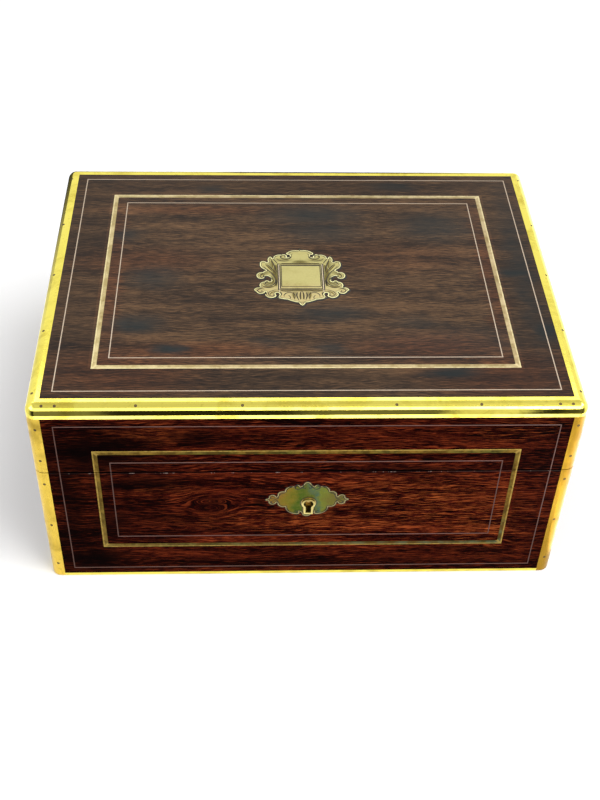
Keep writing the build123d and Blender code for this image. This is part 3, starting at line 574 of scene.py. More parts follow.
FINISHES = (
    ("lid_top_veneer", TOP_ROSEWOOD), ("front_veneer", FRONT_ROSEWOOD), ("back_veneer", BACK_ROSEWOOD),
    ("veneer", SIDE_ROSEWOOD), ("board", MAHOGANY), ("lining", VELVET), ("corner_strips", CORNERS),
    ("strips", EDGING), ("top_stringing", STRINGING_TOP), ("front_stringing", STRINGING_FRONT),
    ("cartouche", PLATE), ("escutcheon", KEY_PLATE), ("keyhole_nozzle", NOZZLE), ("bolt_spring", STEEL),
    ("mirror_glass", MIRROR), ("bottle_top", SILVER), ("long_jar_lid", SILVER), ("bottle", GLASS),
    ("long_jar", GLASS), ("rim_liner", FACING), ("compartment_dividers", FACING), ("tray", FACING),
    ("mirror_ring", FACING), ("mirror_frame", FACING), ("", LOCK_BRASS),
)
for node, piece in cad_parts.items():
    piece.data.materials.clear()
    piece.data.materials.append(next(finish for words, finish in FINISHES if words in node))


SHARP = math.radians(40)  # the least angle of an arris that is eased


def eased(nodes, width_mm):
    """Eases the sharp arrises of thin sheets, so that joints between them show."""
    for node in nodes:
        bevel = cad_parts[node].modifiers.new("eased", "BEVEL")
        bevel.width = width_mm * MM
        bevel.segments = 1
        bevel.limit_method = "ANGLE"
        bevel.angle_limit = SHARP


eased([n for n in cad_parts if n.endswith(("_strips", "_veneer"))], 0.2)
eased(["tray", "compartment_dividers", "mirror_ring", "mirror_button", "link_plate", "lock_cap_plate"], 0.3)


# Engraving

def smooth_line(points, steps=8):
    """A Catmull-Rom curve through flat points, as a list of points."""
    if len(points) == 2:
        return [Vector(p) for p in points]
    padded = [points[0], *points, points[-1]]
    line = []
    for a, b, c, d in zip(padded, padded[1:], padded[2:], padded[3:]):
        a, b, c, d = map(Vector, (a, b, c, d))
        for k in range(steps):
            t = k / steps
            line.append(0.5 * (
                2 * b + (c - a) * t + (2 * a - 5 * b + 4 * c - d) * t * t + (3 * b - a - 3 * c + d) * t ** 3
            ))
    line.append(Vector(points[-1]))
    return line


def band(mesh, pairs, closed=True):
    """Faces between two lines, given as pairs of points, which may close on themselves."""
    rows = [[mesh.verts.new(point) for point in pair] for pair in pairs]
    for (a, b), (c, d) in zip(rows, rows[1:] + rows[:1] if closed else rows[1:]):
        mesh.faces.new((a, b, d, c))


def ribbon(mesh, line, width, taper, place):
    """A flat ribbon along a line, thinner towards its ends, put in space by place(u, v)."""
    count = len(line)
    pairs = []
    for index, point in enumerate(line):
        ahead = line[min(index + 1, count - 1)] - line[max(index - 1, 0)]
        side = Vector((-ahead.y, ahead.x)).normalized()
        t = index / (count - 1)
        half = width / 2 * (1 - taper * abs(2 * t - 1) ** 3)
        pairs.append([place(*(point + side * half * s)) for s in (-1, 1)])
    band(mesh, pairs, closed=False)


def shown(name, mesh, material):
    """A mesh put in the scene, with its material."""
    data = bpy.data.meshes.new(name)
    mesh.to_mesh(data)
    mesh.free()
    data.materials.append(material)
    piece = bpy.data.objects.new(name, data)
    bpy.context.scene.collection.objects.link(piece)
    return piece


def mesh_piece(name, mesh, material, body):
    """A named piece that rides a body."""
    bmesh.ops.recalc_face_normals(mesh, faces=mesh.faces)
    piece = shown(name, mesh, material)
    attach(piece, body)
    return piece


def engraving(name, strokes, weight, place, material, body):
    """Groups of engraved strokes with their mirror images; weight widens them all."""
    mesh = bmesh.new()
    for width, taper, *group in strokes:
        for points in group:
            for side in (-1, 1):
                flat = [(side * u, v) for u, v in points]
                ribbon(mesh, smooth_line(flat), width * weight, taper, place)
    return mesh_piece(name, mesh, material, body)


FACING_OUT = 0.99  # least cosine between a face's normal and the ornament's
LEAST_STEP = 0.12  # mm between two points of an outline


def face_outline(node, flat):
    """The outline of a flat ornament's outer face, in order, as points given by flat(vertex)."""
    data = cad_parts[node].data
    outward = max(data.polygons, key=lambda p: p.area).normal
    owners = {}
    for polygon in data.polygons:
        if polygon.normal.dot(outward) >= FACING_OUT:
            for edge in polygon.edge_keys:
                owners[edge] = owners.get(edge, 0) + 1
    ahead = {}
    for (a, b), count in owners.items():
        if count == 1:
            ahead.setdefault(a, []).append(b)
            ahead.setdefault(b, []).append(a)
    start = min(ahead, key=lambda v: flat(data.vertices[v].co)[0])
    loop, before, here = [start], None, start
    while True:
        after = [v for v in ahead[here] if v != before][0]
        if after == start:
            break
        loop.append(after)
        before, here = here, after
    points = [Vector(flat(data.vertices[v].co)) for v in loop]
    kept = [points[0]]
    for point in points[1:]:
        if (point - kept[-1]).length > LEAST_STEP:
            kept.append(point)
    return kept


def contour(name, points, inset, width, place, material, body, shadow_lean=None):
    """A ribbon that follows a closed outline at a distance inside it, negative outside.

    lean is a direction and a width: the ribbon is that much wider where the outline faces that way, as a
    painted shadow.
    """
    count = len(points)
    area = sum(a.x * b.y - b.x * a.y for a, b in zip(points, points[1:] + points[:1]))
    inward = 1 if area > 0 else -1
    mesh = bmesh.new()
    pairs = []
    for index, point in enumerate(points):
        step = points[(index + 1) % count] - points[index - 1]
        side = Vector((-step.y, step.x)).normalized() * inward
        extra = max(0.0, -side.dot(Vector(shadow_lean[:2]).normalized())) * shadow_lean[2] if shadow_lean else 0.0
        edges = (inset - width / 2 - extra, inset + width / 2)
        pairs.append([place(*(point + side * edge)) for edge in edges])
    band(mesh, pairs)
    return mesh_piece(name, mesh, material, body)


# Pins of the brass edging

FLAT = 2.4  # of each face of a strip, in mm, before the rounded edge begins
ROUND = 5.5  # radius of the edge
TOP = Vector((0, 0, 1))
SIDES = {
    "front": Vector((0, -1, 0)),
    "back": Vector((0, 1, 0)),
    "left": Vector((-1, 0, 0)),
    "right": Vector((1, 0, 0)),
}
HEAD_R, RING_R = 0.44, 0.82  # of a pin's head and the dark ring round it, in mm
PIN_SIDES = 14


def edge_point(first, second, along, across, lift):
    """A point on the strip that bends from one face to the next, across mm from its first margin."""
    turn = min(max((across - FLAT) / ROUND, 0), math.pi / 2)
    inward = ROUND - ROUND * math.sin(turn) + max(FLAT - across, 0)
    down = ROUND - ROUND * math.cos(turn) + max(across - FLAT - ROUND * math.pi / 2, 0)
    normal = first * math.cos(turn) + second * math.sin(turn)
    corner = Vector((0, 0, HEIGHT / MM / 2))
    for face in (first, second):
        corner += Vector((face.x * HALF_W / MM, face.y * HALF_D / MM, face.z * HEIGHT / MM / 2))
    run = Vector([0 if first[axis] or second[axis] else 1 for axis in range(3)])
    if run.z:
        corner.z = 0
    return (corner + run * along - second * inward - first * down + normal * lift) * MM


def pins(name, places, body):
    """Small flush pin heads, each in a dark ring, at (first face, second face, along, across)."""
    turns = [2 * math.pi * k / PIN_SIDES for k in range(PIN_SIDES)]
    for part, inner, outer, lift, material in (
        ("heads", 0.01, HEAD_R, 0.02, PIN_HEAD), ("rings", HEAD_R, RING_R, 0.016, MASTIC_AND_SHADOW),
    ):
        mesh = bmesh.new()
        for first, second, along, across in places:
            band(mesh, [
                [edge_point(first, second, along + r * math.cos(turn), across + r * math.sin(turn), lift)
                 for r in (inner, outer)]
                for turn in turns
            ])
        mesh_piece(f"{name}_{part}", mesh, material, body)


TOP_PINS = (
    ("front", 5.2, (-143, -136, -93, -36, 47, 93, 136, 143)), ("back", 5.2, (-140, -84, -28, 28, 84, 140)),
    ("left", 4.6, (-104, -52, 0, 52, 104)), ("right", 4.6, (-104, -52, 0, 52, 104)),
)
SLIPS = {"left": 0.0, "right": 1.6}  # how much higher the right corners' pins are
CORNER_PINS = {"lid": (101, 125), "base": (12, 47, 82)}  # heights over the ground
lid_pins = [(TOP, SIDES[side], along, across) for side, across, row in TOP_PINS for along in row]
base_pins = []
for side in ("front", "back"):
    for hand, slip in SLIPS.items():
        lid_pins += [(SIDES[side], SIDES[hand], height + slip, 3.2) for height in CORNER_PINS["lid"]]
        base_pins += [(SIDES[side], SIDES[hand], height + slip, 3.2) for height in CORNER_PINS["base"]]
pins("lid_pin", lid_pins, "lid")
pins("base_pin", base_pins, "base")


# The name plate's engraving, in mm from the plate's own centre line and the case's centre.
# Each group of strokes on its right half has a width, a taper and one list of points for each stroke.
PLATE_X = (PLATE_LOW[0] + PLATE_HIGH[0]) / 2 / MM


def on_level(level, middle=0.0):
    """Puts flat points, in mm from a middle in X, on a level surface."""
    return lambda u, v: ((middle + u) * MM, v * MM, level)


on_top = on_level(HEIGHT + LIFT, PLATE_X)
just_under = on_level(HEIGHT + LIFT / 2, PLATE_X)  # on the plate, below the engraved lines
BORDER = 13.75, 10.5, -15.0  # half width, back and front of the blank field's border
PANEL = 11.8, 8.7, -11.8  # the same of the line inside it
PLATE_STROKES = [
    (0.34, 0.9,
     [(4.4, 21.6), (5.3, 19.4), (5.6, 17), (7.2, 15.7), (9.6, 15.6), (11.7, 16.7), (12, 18.3),
      (10.9, 19.3), (9.4, 18.7), (9.5, 17.5), (10.4, 17.5)],
     [(20.4, 1), (22.9, 1.1), (24.7, -1), (23.7, -2.9), (22.4, -2.2), (22.5, -0.9), (23.2, -0.8)],
     [(18.3, -8.4), (20.2, -9.8), (21.7, -8.9), (21, -7.7), (20, -8)],
     [(15.9, -11.5), (18.9, -12.8), (21.9, -12.5), (23.7, -10.6)],
     [(22, -14.6), (24.4, -14), (26.3, -15.2), (25.5, -17), (23.8, -16.9), (23.6, -15.8), (24.5, -15.5)],
     [(14.5, -14.6), (16.9, -15.5), (19.3, -17), (19.7, -19.4), (18.1, -20.9), (16.6, -20.2),
      (16.8, -18.9), (17.9, -18.9)]),
    (0.9, 0.95, [(0, 16.4), (0, 11)]),
    (0.5, 0.9,
     [(1.2, 14.2), (2.4, 11.1)],
     [(2.9, 12.9), (5, 11)]),
    (0.35, 0.9, [(16.7, 15.9), (15.2, 13.2), (13.9, 10.8)]),
    (0.42, 0.95, [(18.2, 16), (16.7, 11.5), (15.4, 6.5), (14.6, 2)]),
    (0.36, 0.95,
     [(21.4, 11), (18.7, 7.6), (16.7, 4), (14.9, 0.9)],
     [(22.9, 8.7), (20.5, 5), (18.2, 2.2), (15.9, -1)]),
    (0.3, 0.9,
     [(23.6, 12.1), (22.6, 12.4), (21.8, 11.8)],
     [(7.2, -24), (7, -21.6), (8.2, -20)],
     [(5, -16), (8.6, -16.6), (12.4, -16)],
     [(12.9, -16.6), (12.1, -18.9), (13.1, -21.4)],
     [(1.1, 23.4), (4.2, 23.3), (6.5, 22), (7.2, 21.2)],
     [(12.6, 19.1), (14.6, 18.4), (15.9, 16.9)],
     [(6.8, 14.2), (9.4, 13.4), (12.8, 14.2), (14.6, 16.6)]),
    (0.42, 0.9,
     [(19.2, 2.4), (16.4, -1.4), (15.3, -5.5), (16.2, -9), (18.4, -11), (21.4, -10.8), (22.9, -8.7)],
     [(0.3, -16.2), (1.1, -19.5), (1.1, -24.4)],
     [(2.6, -17.2), (3.1, -20.5), (2, -25)]),
    (0.36, 0.9, [(4.6, -24.8), (4.2, -20.5), (5.4, -18), (8.9, -17.9), (10.6, -20), (10.4, -21.6)]),
    (0.34, 0.4, [(0, -26.7), (1.9, -26.7)]),
    (0.28, 0.9, [(14.6, -5), (14.7, -9), (15.6, -11.2)]),
]
for (half, back, front), width, inset in ((BORDER, 0.42, 0.0), (BORDER, 0.36, 1.15), (PANEL, 0.3, 0.0)):
    corners = [
        (0, back - inset), (half - inset, back - inset), (half - inset, front + inset), (0, front + inset),
    ]
    PLATE_STROKES.append((width, 0.0, *zip(corners, corners[1:])))
engraving("cartouche_engraving", PLATE_STROKES, 1.75, on_top, ENGRAVED, "lid")
# Painted shade: soft dark strips beside the scrolls and along the field, lying under the engraved lines.
SHADE_STROKES = [
    (1.8, 0.95, [(14.8, 9.6), (15.6, 5), (16.4, 0)]),
    (1.3, 0.95, [(15.2, 0), (14.9, -5), (15.2, -12)]),
    (1, 0.95,
     [(21.6, 0), (23.4, 0.2), (24, -1.2)],
     [(16.6, -11.6), (19.6, -12.2), (22.6, -11.6)]),
    (0.9, 0.95,
     [(21.4, 10), (19.2, 6.6), (17.2, 3.2)],
     [(10.6, 17.6), (11.6, 17.8), (11.6, 18.8)],
     [(14.6, -5), (15, -9), (16.6, -11.6)],
     [(0.6, -16.8), (0.9, -20), (0.7, -24)]),
    (1.5, 0.95, [(0, 15.4), (0, 10.9)]),
    (0.8, 0.3, [(0, 11.2), (11.5, 11.2)]),
    (0.7, 0.2, [(0, -15.5), (12.5, -15.5)]),
    (0.8, 0.95,
     [(5, -17), (5.2, -20), (4.4, -24)],
     [(20, -1.4), (17.4, -4.5), (16.8, -7.4), (18.6, -10.2)],
     [(6.6, 19), (6.2, 16.8), (8.4, 15), (11.6, 15.8)],
     [(18, 14), (17, 10), (17.4, 6)],
     [(15.8, -16.6), (18, -17.6), (19, -19.8)]),
    (0.7, 0.95, [(22, -13.2), (24.6, -13.4), (26, -14.4)]),
]
# Painted highlights: pale bars down the left and right of the field's border.
BAR_HIGHLIGHT_STROKES = [(0.62, 0.2, [(13.25, 10), (13.25, -16.8)])]
engraving("cartouche_painted_shade", SHADE_STROKES, 1.0, just_under, PLATE_SHADE, "lid")
engraving("cartouche_bar_highlights", BAR_HIGHLIGHT_STROKES, 1.0, on_top, PLATE_BAR_HIGHLIGHT, "lid")
plate_edge = face_outline("cartouche", lambda v: (v.x / MM - PLATE_X, v.y / MM))
# A painted highlight just inside the plate's edge.
contour("cartouche_edge_highlight", plate_edge, 0.36, 0.72, just_under, PLATE_EDGE_HIGHLIGHT, "lid")
contour("cartouche_edge_line", plate_edge, 0.84, 0.32, on_top, ENGRAVED, "lid")
# Dark mastic round the plate, widened toward the lower right as the plate's painted shadow.
contour(
    "cartouche_mastic_and_shadow", plate_edge, -0.20, 0.44, on_top, MASTIC_AND_SHADOW, "lid", shadow_lean=(0.45, -0.9, 1.0)
)


# The escutcheon's engraving, in mm from its centre line and the level of its two tips
TIP_RISE = 14.3  # of the tips over the escutcheon's foot
KEY_X = (KEY_LOW[0] + KEY_HIGH[0]) / 2 / MM
KEY_TIPS = KEY_LOW[2] / MM + TIP_RISE


def on_front(u, v):
    return ((KEY_X + u) * MM, -HALF_D - LIFT, (KEY_TIPS + v) * MM)


KEY_STROKES = [
    (0.3, 0.9,
     [(0.6, 12.4), (2.2, 11.4), (2.4, 9.8), (1.2, 9.4), (0.9, 10.4)],
     [(16.9, 3), (16.6, 1.2), (17.8, 0.4), (19.2, 0.3)],
     [(16.9, -3), (16.8, -1.6), (17.8, -0.6), (19.6, -0.4)],
     [(18.7, 0.8), (20.7, 1.1), (21.3, 2.3), (20.3, 3.1), (19.5, 2.3)],
     [(18.7, -1), (20.3, -1.4), (20.6, -2.7), (19.3, -3.2), (18.7, -2.4)],
     [(6.5, -11.6), (5.5, -10.9), (6.4, -9.8), (7.5, -10.6)]),
    (0.36, 0.9, [(2.1, 12.8), (3.3, 9.8), (5, 8.6), (6.9, 9.4), (7, 11.2), (5.8, 11.7), (5.3, 10.6)]),
    (0.28, 0.9,
     [(8.3, 11), (10.4, 10.2), (12, 7.6)],
     [(12.7, 5.4), (14.9, 4.9), (16.2, 3.2)],
     [(11.9, -7), (11, -9.4), (8.6, -11.6)]),
]
engraving("escutcheon_engraving", KEY_STROKES, 1.9, on_front, DARK_ENGRAVED, "base")
key_edge = face_outline("escutcheon", lambda v: (v.x / MM - KEY_X, v.z / MM - KEY_TIPS))
contour("escutcheon_rim", key_edge, 0.24, 0.50, on_front, KEY_RIM, "base")
contour("escutcheon_edge_line", key_edge, 0.74, 0.44, on_front, DARK_ENGRAVED, "base")
contour("escutcheon_mastic", key_edge, -0.20, 0.44, on_front, MASTIC_AND_SHADOW, "base")


# Velvet pads

VELVET_CLOTH = {
    "quality": 5, "mass": 0.3, "tension_stiffness": 15, "compression_stiffness": 15, "bending_stiffness": 3.0,
    "shrink_min": -0.012, "use_pressure": True, "uniform_pressure_force": 4, "vertex_group_mass": "foot",
}
SETTLE_FRAMES = 20


def simulated(pad, pinned, swell_mm, spread_mm):
    """Swells a pad by cloth simulation from its pinned foot, then keeps each point near its start."""
    scene = bpy.context.scene
    swell, spread = swell_mm * MM, spread_mm * MM
    start = [v.co.copy() for v in pad.data.vertices]
    group = pad.vertex_groups.new(name="foot")
    group.add(pinned, 1.0, "REPLACE")
    cloth = pad.modifiers.new("cloth", "CLOTH")
    for setting, value in VELVET_CLOTH.items():
        setattr(cloth.settings, setting, value)
    cloth.settings.effector_weights.gravity = 0
    cloth.collision_settings.use_collision = False
    for number in range(1, SETTLE_FRAMES + 1):
        scene.frame_set(number)
    shape = pad.evaluated_get(bpy.context.evaluated_depsgraph_get()).to_mesh()
    moved = [v.co.copy() for v in shape.vertices]
    pad.modifiers.remove(cloth)
    pad.vertex_groups.remove(group)
    scene.frame_set(1)
    for vertex, home, away in zip(pad.data.vertices, start, moved):
        shift = away - home
        rise = swell * math.tanh(shift.z / swell)
        side = Vector((shift.x, shift.y, 0))
        if side.length > spread:
            side *= spread / side.length
        vertex.co = home + side + Vector((0, 0, rise))


def pad_mesh(low, high, cell_mm, crown_mm=0.0):
    """An evenly meshed closed pad between two corners; also the numbers of its lower points."""
    mesh = bmesh.new()
    size = high - low
    across, deep = (max(4, round(size[axis] / MM / cell_mm)) for axis in (0, 1))
    layers = []
    for z, crown in ((low.z, 0.0), (high.z, crown_mm * MM)):
        layers.append([])
        for i in range(across + 1):
            for j in range(deep + 1):
                u, v = i / across, j / deep
                rise = crown * (16 * u * (1 - u) * v * (1 - v)) ** 0.35
                layers[-1].append(mesh.verts.new((low.x + u * size.x, low.y + v * size.y, z + rise)))
    mesh.verts.index_update()
    row = deep + 1
    border = [i * row for i in range(across + 1)]
    border += [across * row + j for j in range(1, row)]
    border += [i * row + row - 1 for i in range(across - 1, -1, -1)]
    border += list(range(row - 2, 0, -1))
    for layer in layers:
        for i in range(across):
            for j in range(deep):
                a = i * row + j
                mesh.faces.new([layer[k] for k in (a, a + 1, a + row + 1, a + row)])
    for a, b in zip(border, border[1:] + border[:1]):
        mesh.faces.new((layers[0][a], layers[0][b], layers[1][b], layers[1][a]))
    return mesh, [v.index for v in layers[0]]


DRAWN_CROWN = 0.8  # of the swell, on a pad that isn't simulated
SPREAD_PART = 0.7  # of the gap round a pad, which it may swell into


def velvet_pad(name, low, high, body, thickness_mm, swell_mm, gap_mm=1.0, cell_mm=3.0):
    """A velvet pad on the floor of a well, tucked in along its walls and crowned in the middle."""
    gap = Vector((gap_mm, gap_mm, 0)) * MM
    low, high = Vector(low) + gap, Vector(high) - gap
    high.z = low.z + thickness_mm * MM
    settled = swell_mm == 0
    mesh, foot = pad_mesh(low, high, cell_mm, DRAWN_CROWN * swell_mm if settled else 0.0)
    pad = mesh_piece(name, mesh, VELVET, body)
    if not settled:
        simulated(pad, foot, swell_mm, SPREAD_PART * gap_mm)
    for polygon in pad.data.polygons:
        polygon.use_smooth = True
    finer = pad.modifiers.new("finer", "SUBSURF")
    finer.levels = finer.render_levels = 1
    return pad


def wells_of(node):
    """The low and high corners of each separate solid of a CAD node."""
    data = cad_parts[node].data
    places = [tuple(round(c / MM, 3) for c in vertex.co) for vertex in data.vertices]
    owner = {place: place for place in places}

    def root(place):
        while owner[place] != place:
            owner[place] = owner[owner[place]]
            place = owner[place]
        return place

    for a, b in (edge.vertices for edge in data.edges):
        owner[root(places[a])] = root(places[b])
    groups = {}
    for vertex, place in zip(data.vertices, places):
        groups.setdefault(root(place), []).append(vertex.co)
    corners = [
        [Vector([pick(place[k] for place in group) for k in range(3)]) for pick in (min, max)]
        for group in groups.values()
    ]
    return sorted(corners, key=lambda c: (round(c[0].y, 4), c[0].x))


for number, (low, high) in enumerate(wells_of("tray_lining"), 1):
    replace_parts(velvet_pad(f"tray_pad_{number}", low, high, "base", 2.4, 3.2), "tray_lining")

LINED_LOW, LINED_HIGH = map(Vector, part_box("compartment_lining"))
JAR_LOW = Vector(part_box("long_jar_right")[0])
JAR_GAP = 1.0 * MM  # between a bottle or jar and the partition beside it
WALL_T = 3.0 * MM  # thickness of the partitions
FLOOR_PAD_T = 1.2
WELL_SWELL = 3.0
column = JAR_LOW.x - JAR_GAP
middle = column - WALL_T
back_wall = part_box("bottle_1")[0][1] - JAR_GAP
side_front = JAR_LOW.y - JAR_GAP - WALL_T
floor = LINED_LOW.z
floor_pads = (
    ("well_pad_left", (LINED_LOW.x, LINED_LOW.y), (-column, side_front), WELL_SWELL),
    ("well_pad_right", (column, LINED_LOW.y), (LINED_HIGH.x, side_front), WELL_SWELL),
    ("well_pad_middle", (-middle, LINED_LOW.y), (middle, back_wall - WALL_T), WELL_SWELL),
    ("bottle_bed", (-middle, back_wall), (middle, LINED_HIGH.y), 0.0),
    ("jar_bed_left", (LINED_LOW.x, side_front + WALL_T), (-column, LINED_HIGH.y), 0.0),
    ("jar_bed_right", (column, side_front + WALL_T), (LINED_HIGH.x, LINED_HIGH.y), 0.0),
)
for name, (x0, y0), (x1, y1), swell in floor_pads:
    low, high = Vector((x0, y0, floor)), Vector((x1, y1, floor))
    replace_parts(velvet_pad(name, low, high, "base", FLOOR_PAD_T, swell), "compartment_lining")

low, high = map(Vector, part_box("lid_lining"))
lid_pad = velvet_pad("lid_pad", low, high, "lid", 0.9, 0.5, cell_mm=6.0)
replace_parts(lid_pad, "lid_lining")


# The mirror

def corner_points(half_x, half_y, inward_mm, z_mm):
    """The corners of a level rectangle, drawn in by some mm all round."""
    x, y, z = half_x - inward_mm * MM, half_y - inward_mm * MM, z_mm * MM
    return [Vector((sx * x, sy * y, z)) for sx, sy in ((-1, -1), (1, -1), (1, 1), (-1, 1))]


def moulding(mesh, half_x, half_y, profile):
    """Four mitred lengths of a moulding; a profile point is a distance from the outer edge and a height."""
    rims = [corner_points(half_x, half_y, inward, z) for inward, z in profile]
    for side in range(4):
        band(mesh, [(rim[side], rim[(side + 1) % 4]) for rim in rims])


def slab(mesh, half_x, half_y, z0, z1, bevel_mm=0.0, drop_mm=0.0):
    """A flat rectangular sheet; its lower face can have a wide bevel all round."""
    lower = [(0.0, z0 + drop_mm), (bevel_mm, z0)] if bevel_mm else [(0.0, z0)]
    rims = [
        [mesh.verts.new(c) for c in corner_points(half_x, half_y, inward, z)]
        for inward, z in [(0.0, z1), *lower]
    ]
    for above, below in zip(rims, rims[1:]):
        for k in range(4):
            mesh.faces.new((above[k], above[(k + 1) % 4], below[(k + 1) % 4], below[k]))
    mesh.faces.new(rims[0])
    mesh.faces.new(rims[-1])


FRAME_LOW, FRAME_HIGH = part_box("mirror_frame")
GLASS_LOW, GLASS_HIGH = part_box("mirror_glass")
MOULDED_FACE = (
    (0, 0.5), (0.4, 0.1), (1.9, 0), (2.3, 0.35), (3, 0.75), (4.2, 0.95), (5.4, 0.8), (6.2, 0.4),
    (6.6, 0.1), (7.5, 0.1), (8.2, 0.5), (8.7, 1.1),
)  # from the outer edge, and from the frame's face
face_z, frame_back = FRAME_LOW[2] / MM, FRAME_HIGH[2] / MM
glass_z = GLASS_LOW[2] / MM, GLASS_HIGH[2] / MM
lap = (FRAME_HIGH[0] - GLASS_HIGH[0]) / MM
lip = lap + 3.0
mesh = bmesh.new()
moulding(mesh, FRAME_HIGH[0], FRAME_HIGH[1], [
    (0, frame_back), *((inward, face_z + height) for inward, height in MOULDED_FACE),
    (lip, glass_z[0] - 0.3), (lip, glass_z[0]), (lap, glass_z[0]), (lap, glass_z[1]), (lap, frame_back),
])
slab(mesh, GLASS_HIGH[0], GLASS_HIGH[1], glass_z[1], frame_back)
moulded = mesh_piece("mirror_moulding", mesh, MOULDING, "lid")
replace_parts(moulded, "mirror_frame")
mesh = bmesh.new()
slab(mesh, GLASS_HIGH[0], GLASS_HIGH[1], glass_z[0], glass_z[1], bevel_mm=15, drop_mm=1)
bevelled = mesh_piece("bevelled_glass", mesh, MIRROR, "lid")
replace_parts(bevelled, "mirror_glass")


# Engraved borders on the plated tops

BORDER_LINES = ((0.9, 0.34), (1.7, 0.2), (4.4, 0.2))  # inset and width, in mm
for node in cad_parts:
    if node.startswith(("bottle_top", "long_jar_lid")):
        edge = face_outline(node, lambda v: (v.x / MM, v.y / MM))
        place = on_level(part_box(node)[1][2] + LIFT)
        for number, (inset, width) in enumerate(BORDER_LINES, 1):
            contour(f"{node}_line_{number}", edge, inset, width, place, TARNISH, "base")


# Camera, light and ground

EYE = (-0.03235, -0.57945, 0.58466)  # where the photograph was taken from, in m
EYE_RIGHT = (0.9991, -0.0333, 0.02613)
EYE_AHEAD = (0.04215, 0.7258, -0.68661)
LENS_MM, FILM_MM = 54.06, 36.0
FLOOR_HALF = 4.0
FADE_START, FADE_END = 0.6, 1.5  # m from the case, between which the floor turns plain white
LAMP_AIM = Vector((0, 0, 0.05))


def camera():
    """Stands where the fitted photograph was taken, 38 degrees above the case and a little to the left."""
    right = Vector(EYE_RIGHT).normalized()
    ahead = Vector(EYE_AHEAD).normalized()
    up = right.cross(ahead)
    data = bpy.data.cameras.new("camera")
    data.sensor_fit = "VERTICAL"
    data.sensor_height = FILM_MM
    data.lens = LENS_MM
    eye = bpy.data.objects.new("camera", data)
    turn = Matrix((right, up, -ahead)).transposed()
    eye.matrix_world = Matrix.Translation(EYE) @ turn.to_4x4()
    bpy.context.scene.collection.objects.link(eye)
    bpy.context.scene.camera = eye


def soft_box(name, place, size, power):
    """A square lamp that shines on the case."""
    data = bpy.data.lights.new(name, "AREA")
    data.shape = "RECTANGLE"
    data.size = data.size_y = size
    data.energy = power
    lamp = bpy.data.objects.new(name, data)
    lamp.location = place
    lamp.rotation_euler = (LAMP_AIM - Vector(place)).to_track_quat("-Z", "Y").to_euler()
    bpy.context.scene.collection.objects.link(lamp)


def ground():
    """A pale floor that keeps the shadow and turns plain white far from the case."""
    s = Shader("pale_ground")
    paper = s.node("BsdfDiffuse", {"Color": (0.9, 0.9, 0.9, 1)})
    near = s.node("BsdfDiffuse", {"Color": WHITE})
    far = s.node("Emission")
    distance = s.node("VectorMath", {0: s.place}, "Value", operation="LENGTH")
    seen = s.node("MixShader", {0: s.smooth(distance, FADE_START, FADE_END), 1: near, 2: far})
    by_eye = s.node("LightPath", output="Is Camera Ray")
    s.show(s.node("MixShader", {0: by_eye, 1: paper, 2: seen}))
    mesh = bmesh.new()
    bmesh.ops.create_grid(mesh, x_segments=4, y_segments=4, size=FLOOR_HALF)
    floor = shown("ground", mesh, s.owner)


def sky():
    """White to the eye and in reflections, and a mild even light on matt surfaces."""
    s = Shader("studio", of_world=True)
    mild = s.node("Background", {"Color": WHITE, "Strength": 0.5})
    white = s.node("Background", {"Color": WHITE, "Strength": 1.0})
    direct = 0.0
    for ray in ("Is Camera Ray", "Is Glossy Ray", "Is Transmission Ray"):
        direct = s.math("MAXIMUM", direct, s.node("LightPath", output=ray))
    s.show(s.node("MixShader", {0: direct, 1: mild, 2: white}))
    bpy.context.scene.world = s.owner


# What polished metal mirrors

ROOM_HALF_X, ROOM_HALF_Y, ROOM_HEIGHT = 0.36, 0.28, 0.2
ROOM_STEPS = 64
ROOM_SQUARENESS = 0.4  # 1 is an ellipse, less is closer to a rectangle
ROOM_WINDOWS = (
    (-65, 5, 0.85), (-121, 6, 0.2), (-50, 6, 0.15), (-80, 10, 0.16), (15, 46, 2), (112, 12, 0.7),
)  # middle and half width in degrees round the case, and brightness


def glowing(name, brightness):
    """A surface of even or patterned brightness."""
    s = Shader(name)
    s.show(s.node("Emission", {"Strength": brightness(s)}))
    return s.owner


def room_brightness(s):
    """A dark room with pale windows, by the direction round the case."""
    x, y, z = s.split(s.place)
    turn = s.math("ARCTAN2", y, x) * (180 / math.pi)
    total = s.smooth(180.0 - abs(turn), 25, 50, 0.9, 0) + 0.02
    for middle, half, level in ROOM_WINDOWS:
        window = s.smooth(abs(turn - middle), half * 0.6, half * 1.3, level, 0)
        total = s.math("MAXIMUM", total, window)
    return total


def front_window_brightness(s):
    """Brighter to the right, with one glaring pane."""
    x, y, z = s.split(s.place)
    return s.smooth(x, -0.25, 0.25, 1.9, 4.2) + s.smooth(abs(x - 0.40), 0.04, 0.14, 3, 0)


def cloudy(x_scale, y_scale, low, high):
    """A brightness that drifts between two levels."""
    return lambda s: s.smooth(s.noise(s.scaled(s.place, x_scale, y_scale, 1)), 0.3, 0.7, low, high)


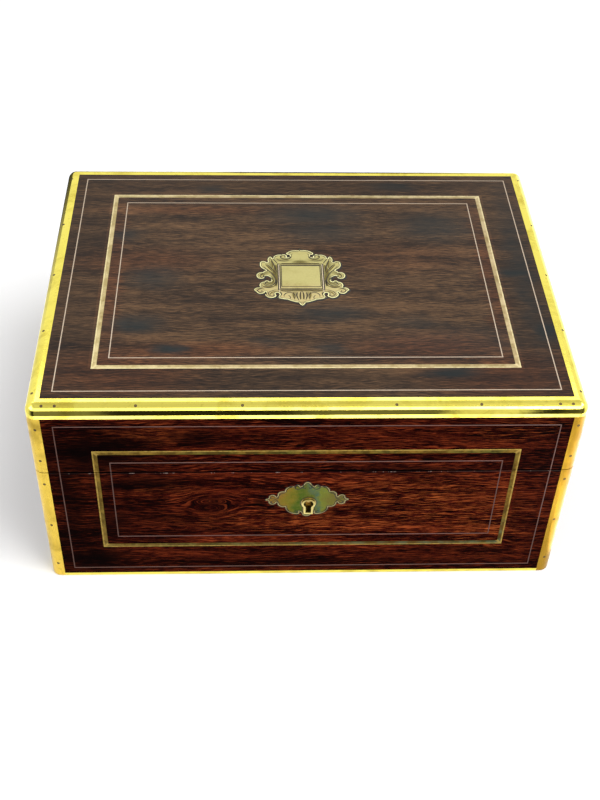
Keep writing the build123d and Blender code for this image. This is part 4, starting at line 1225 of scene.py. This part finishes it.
def reflected_only(name, mesh, material):
    """A card that only mirroring surfaces show."""
    card = shown(name, mesh, material)
    card.visible_camera = False
    card.visible_diffuse = False
    card.visible_transmission = False
    card.visible_shadow = False


def level_card(x0, y0, x1, y1, z):
    return (x0, y0, z), (x1, y0, z), (x1, y1, z), (x0, y1, z)


def upright_card(x0, z0, x1, z1, y):
    return (x0, y, z0), (x1, y, z0), (x1, y, z1), (x0, y, z1)


def surroundings():
    """A low dark room round the case, windows behind and before it, bright floor and a greyish ceiling."""
    mesh = bmesh.new()
    pairs = []
    for k in range(ROOM_STEPS):
        turn = 2 * math.pi * (k + 0.5) / ROOM_STEPS
        x, y = math.cos(turn), math.sin(turn)
        x = math.copysign(abs(x) ** ROOM_SQUARENESS, x) * ROOM_HALF_X
        y = math.copysign(abs(y) ** ROOM_SQUARENESS, y) * ROOM_HALF_Y
        pairs.append([(x, y, 0), (x, y, ROOM_HEIGHT)])
    band(mesh, pairs)
    reflected_only("room", mesh, glowing("room_glow", room_brightness))
    for name, corners, brightness in (
        ("ceiling", level_card(-0.6, -0.74, 0.6, 0.52, 1), cloudy(2.2, 5, 0.66, 0.80)),
        ("high_window", upright_card(-0.9, 1.16, 0.9, 1.60, 1), cloudy(3, 1, 2.2, 3.4)),
        ("floor_right", level_card(0.165, -0.22, 0.33, 0.27, 0.001), cloudy(9, 9, 2.6, 3.6)),
        ("floor_left", level_card(-0.33, -0.22, -0.165, 0.27, 0.001), cloudy(9, 9, 1, 1.3)),
        ("floor_front", level_card(-0.34, -0.264, 0.34, -0.2475, 0.001), cloudy(7, 2, 2.4, 3.6)),
        ("front_window", upright_card(-0.7, 0.44, 0.9, 1.15, -0.9), front_window_brightness),
    ):
        mesh = bmesh.new()
        mesh.faces.new([mesh.verts.new(c) for c in corners])
        reflected_only(name, mesh, glowing(f"{name}_glow", brightness))


camera()
ground()
sky()
surroundings()
soft_box("key", (1.15, -0.75, 2.1), 1.7, 51)
soft_box("fill", (-1.2, -0.8, 1.3), 1.2, 12)
bpy.context.scene.view_settings.view_transform = "Standard"
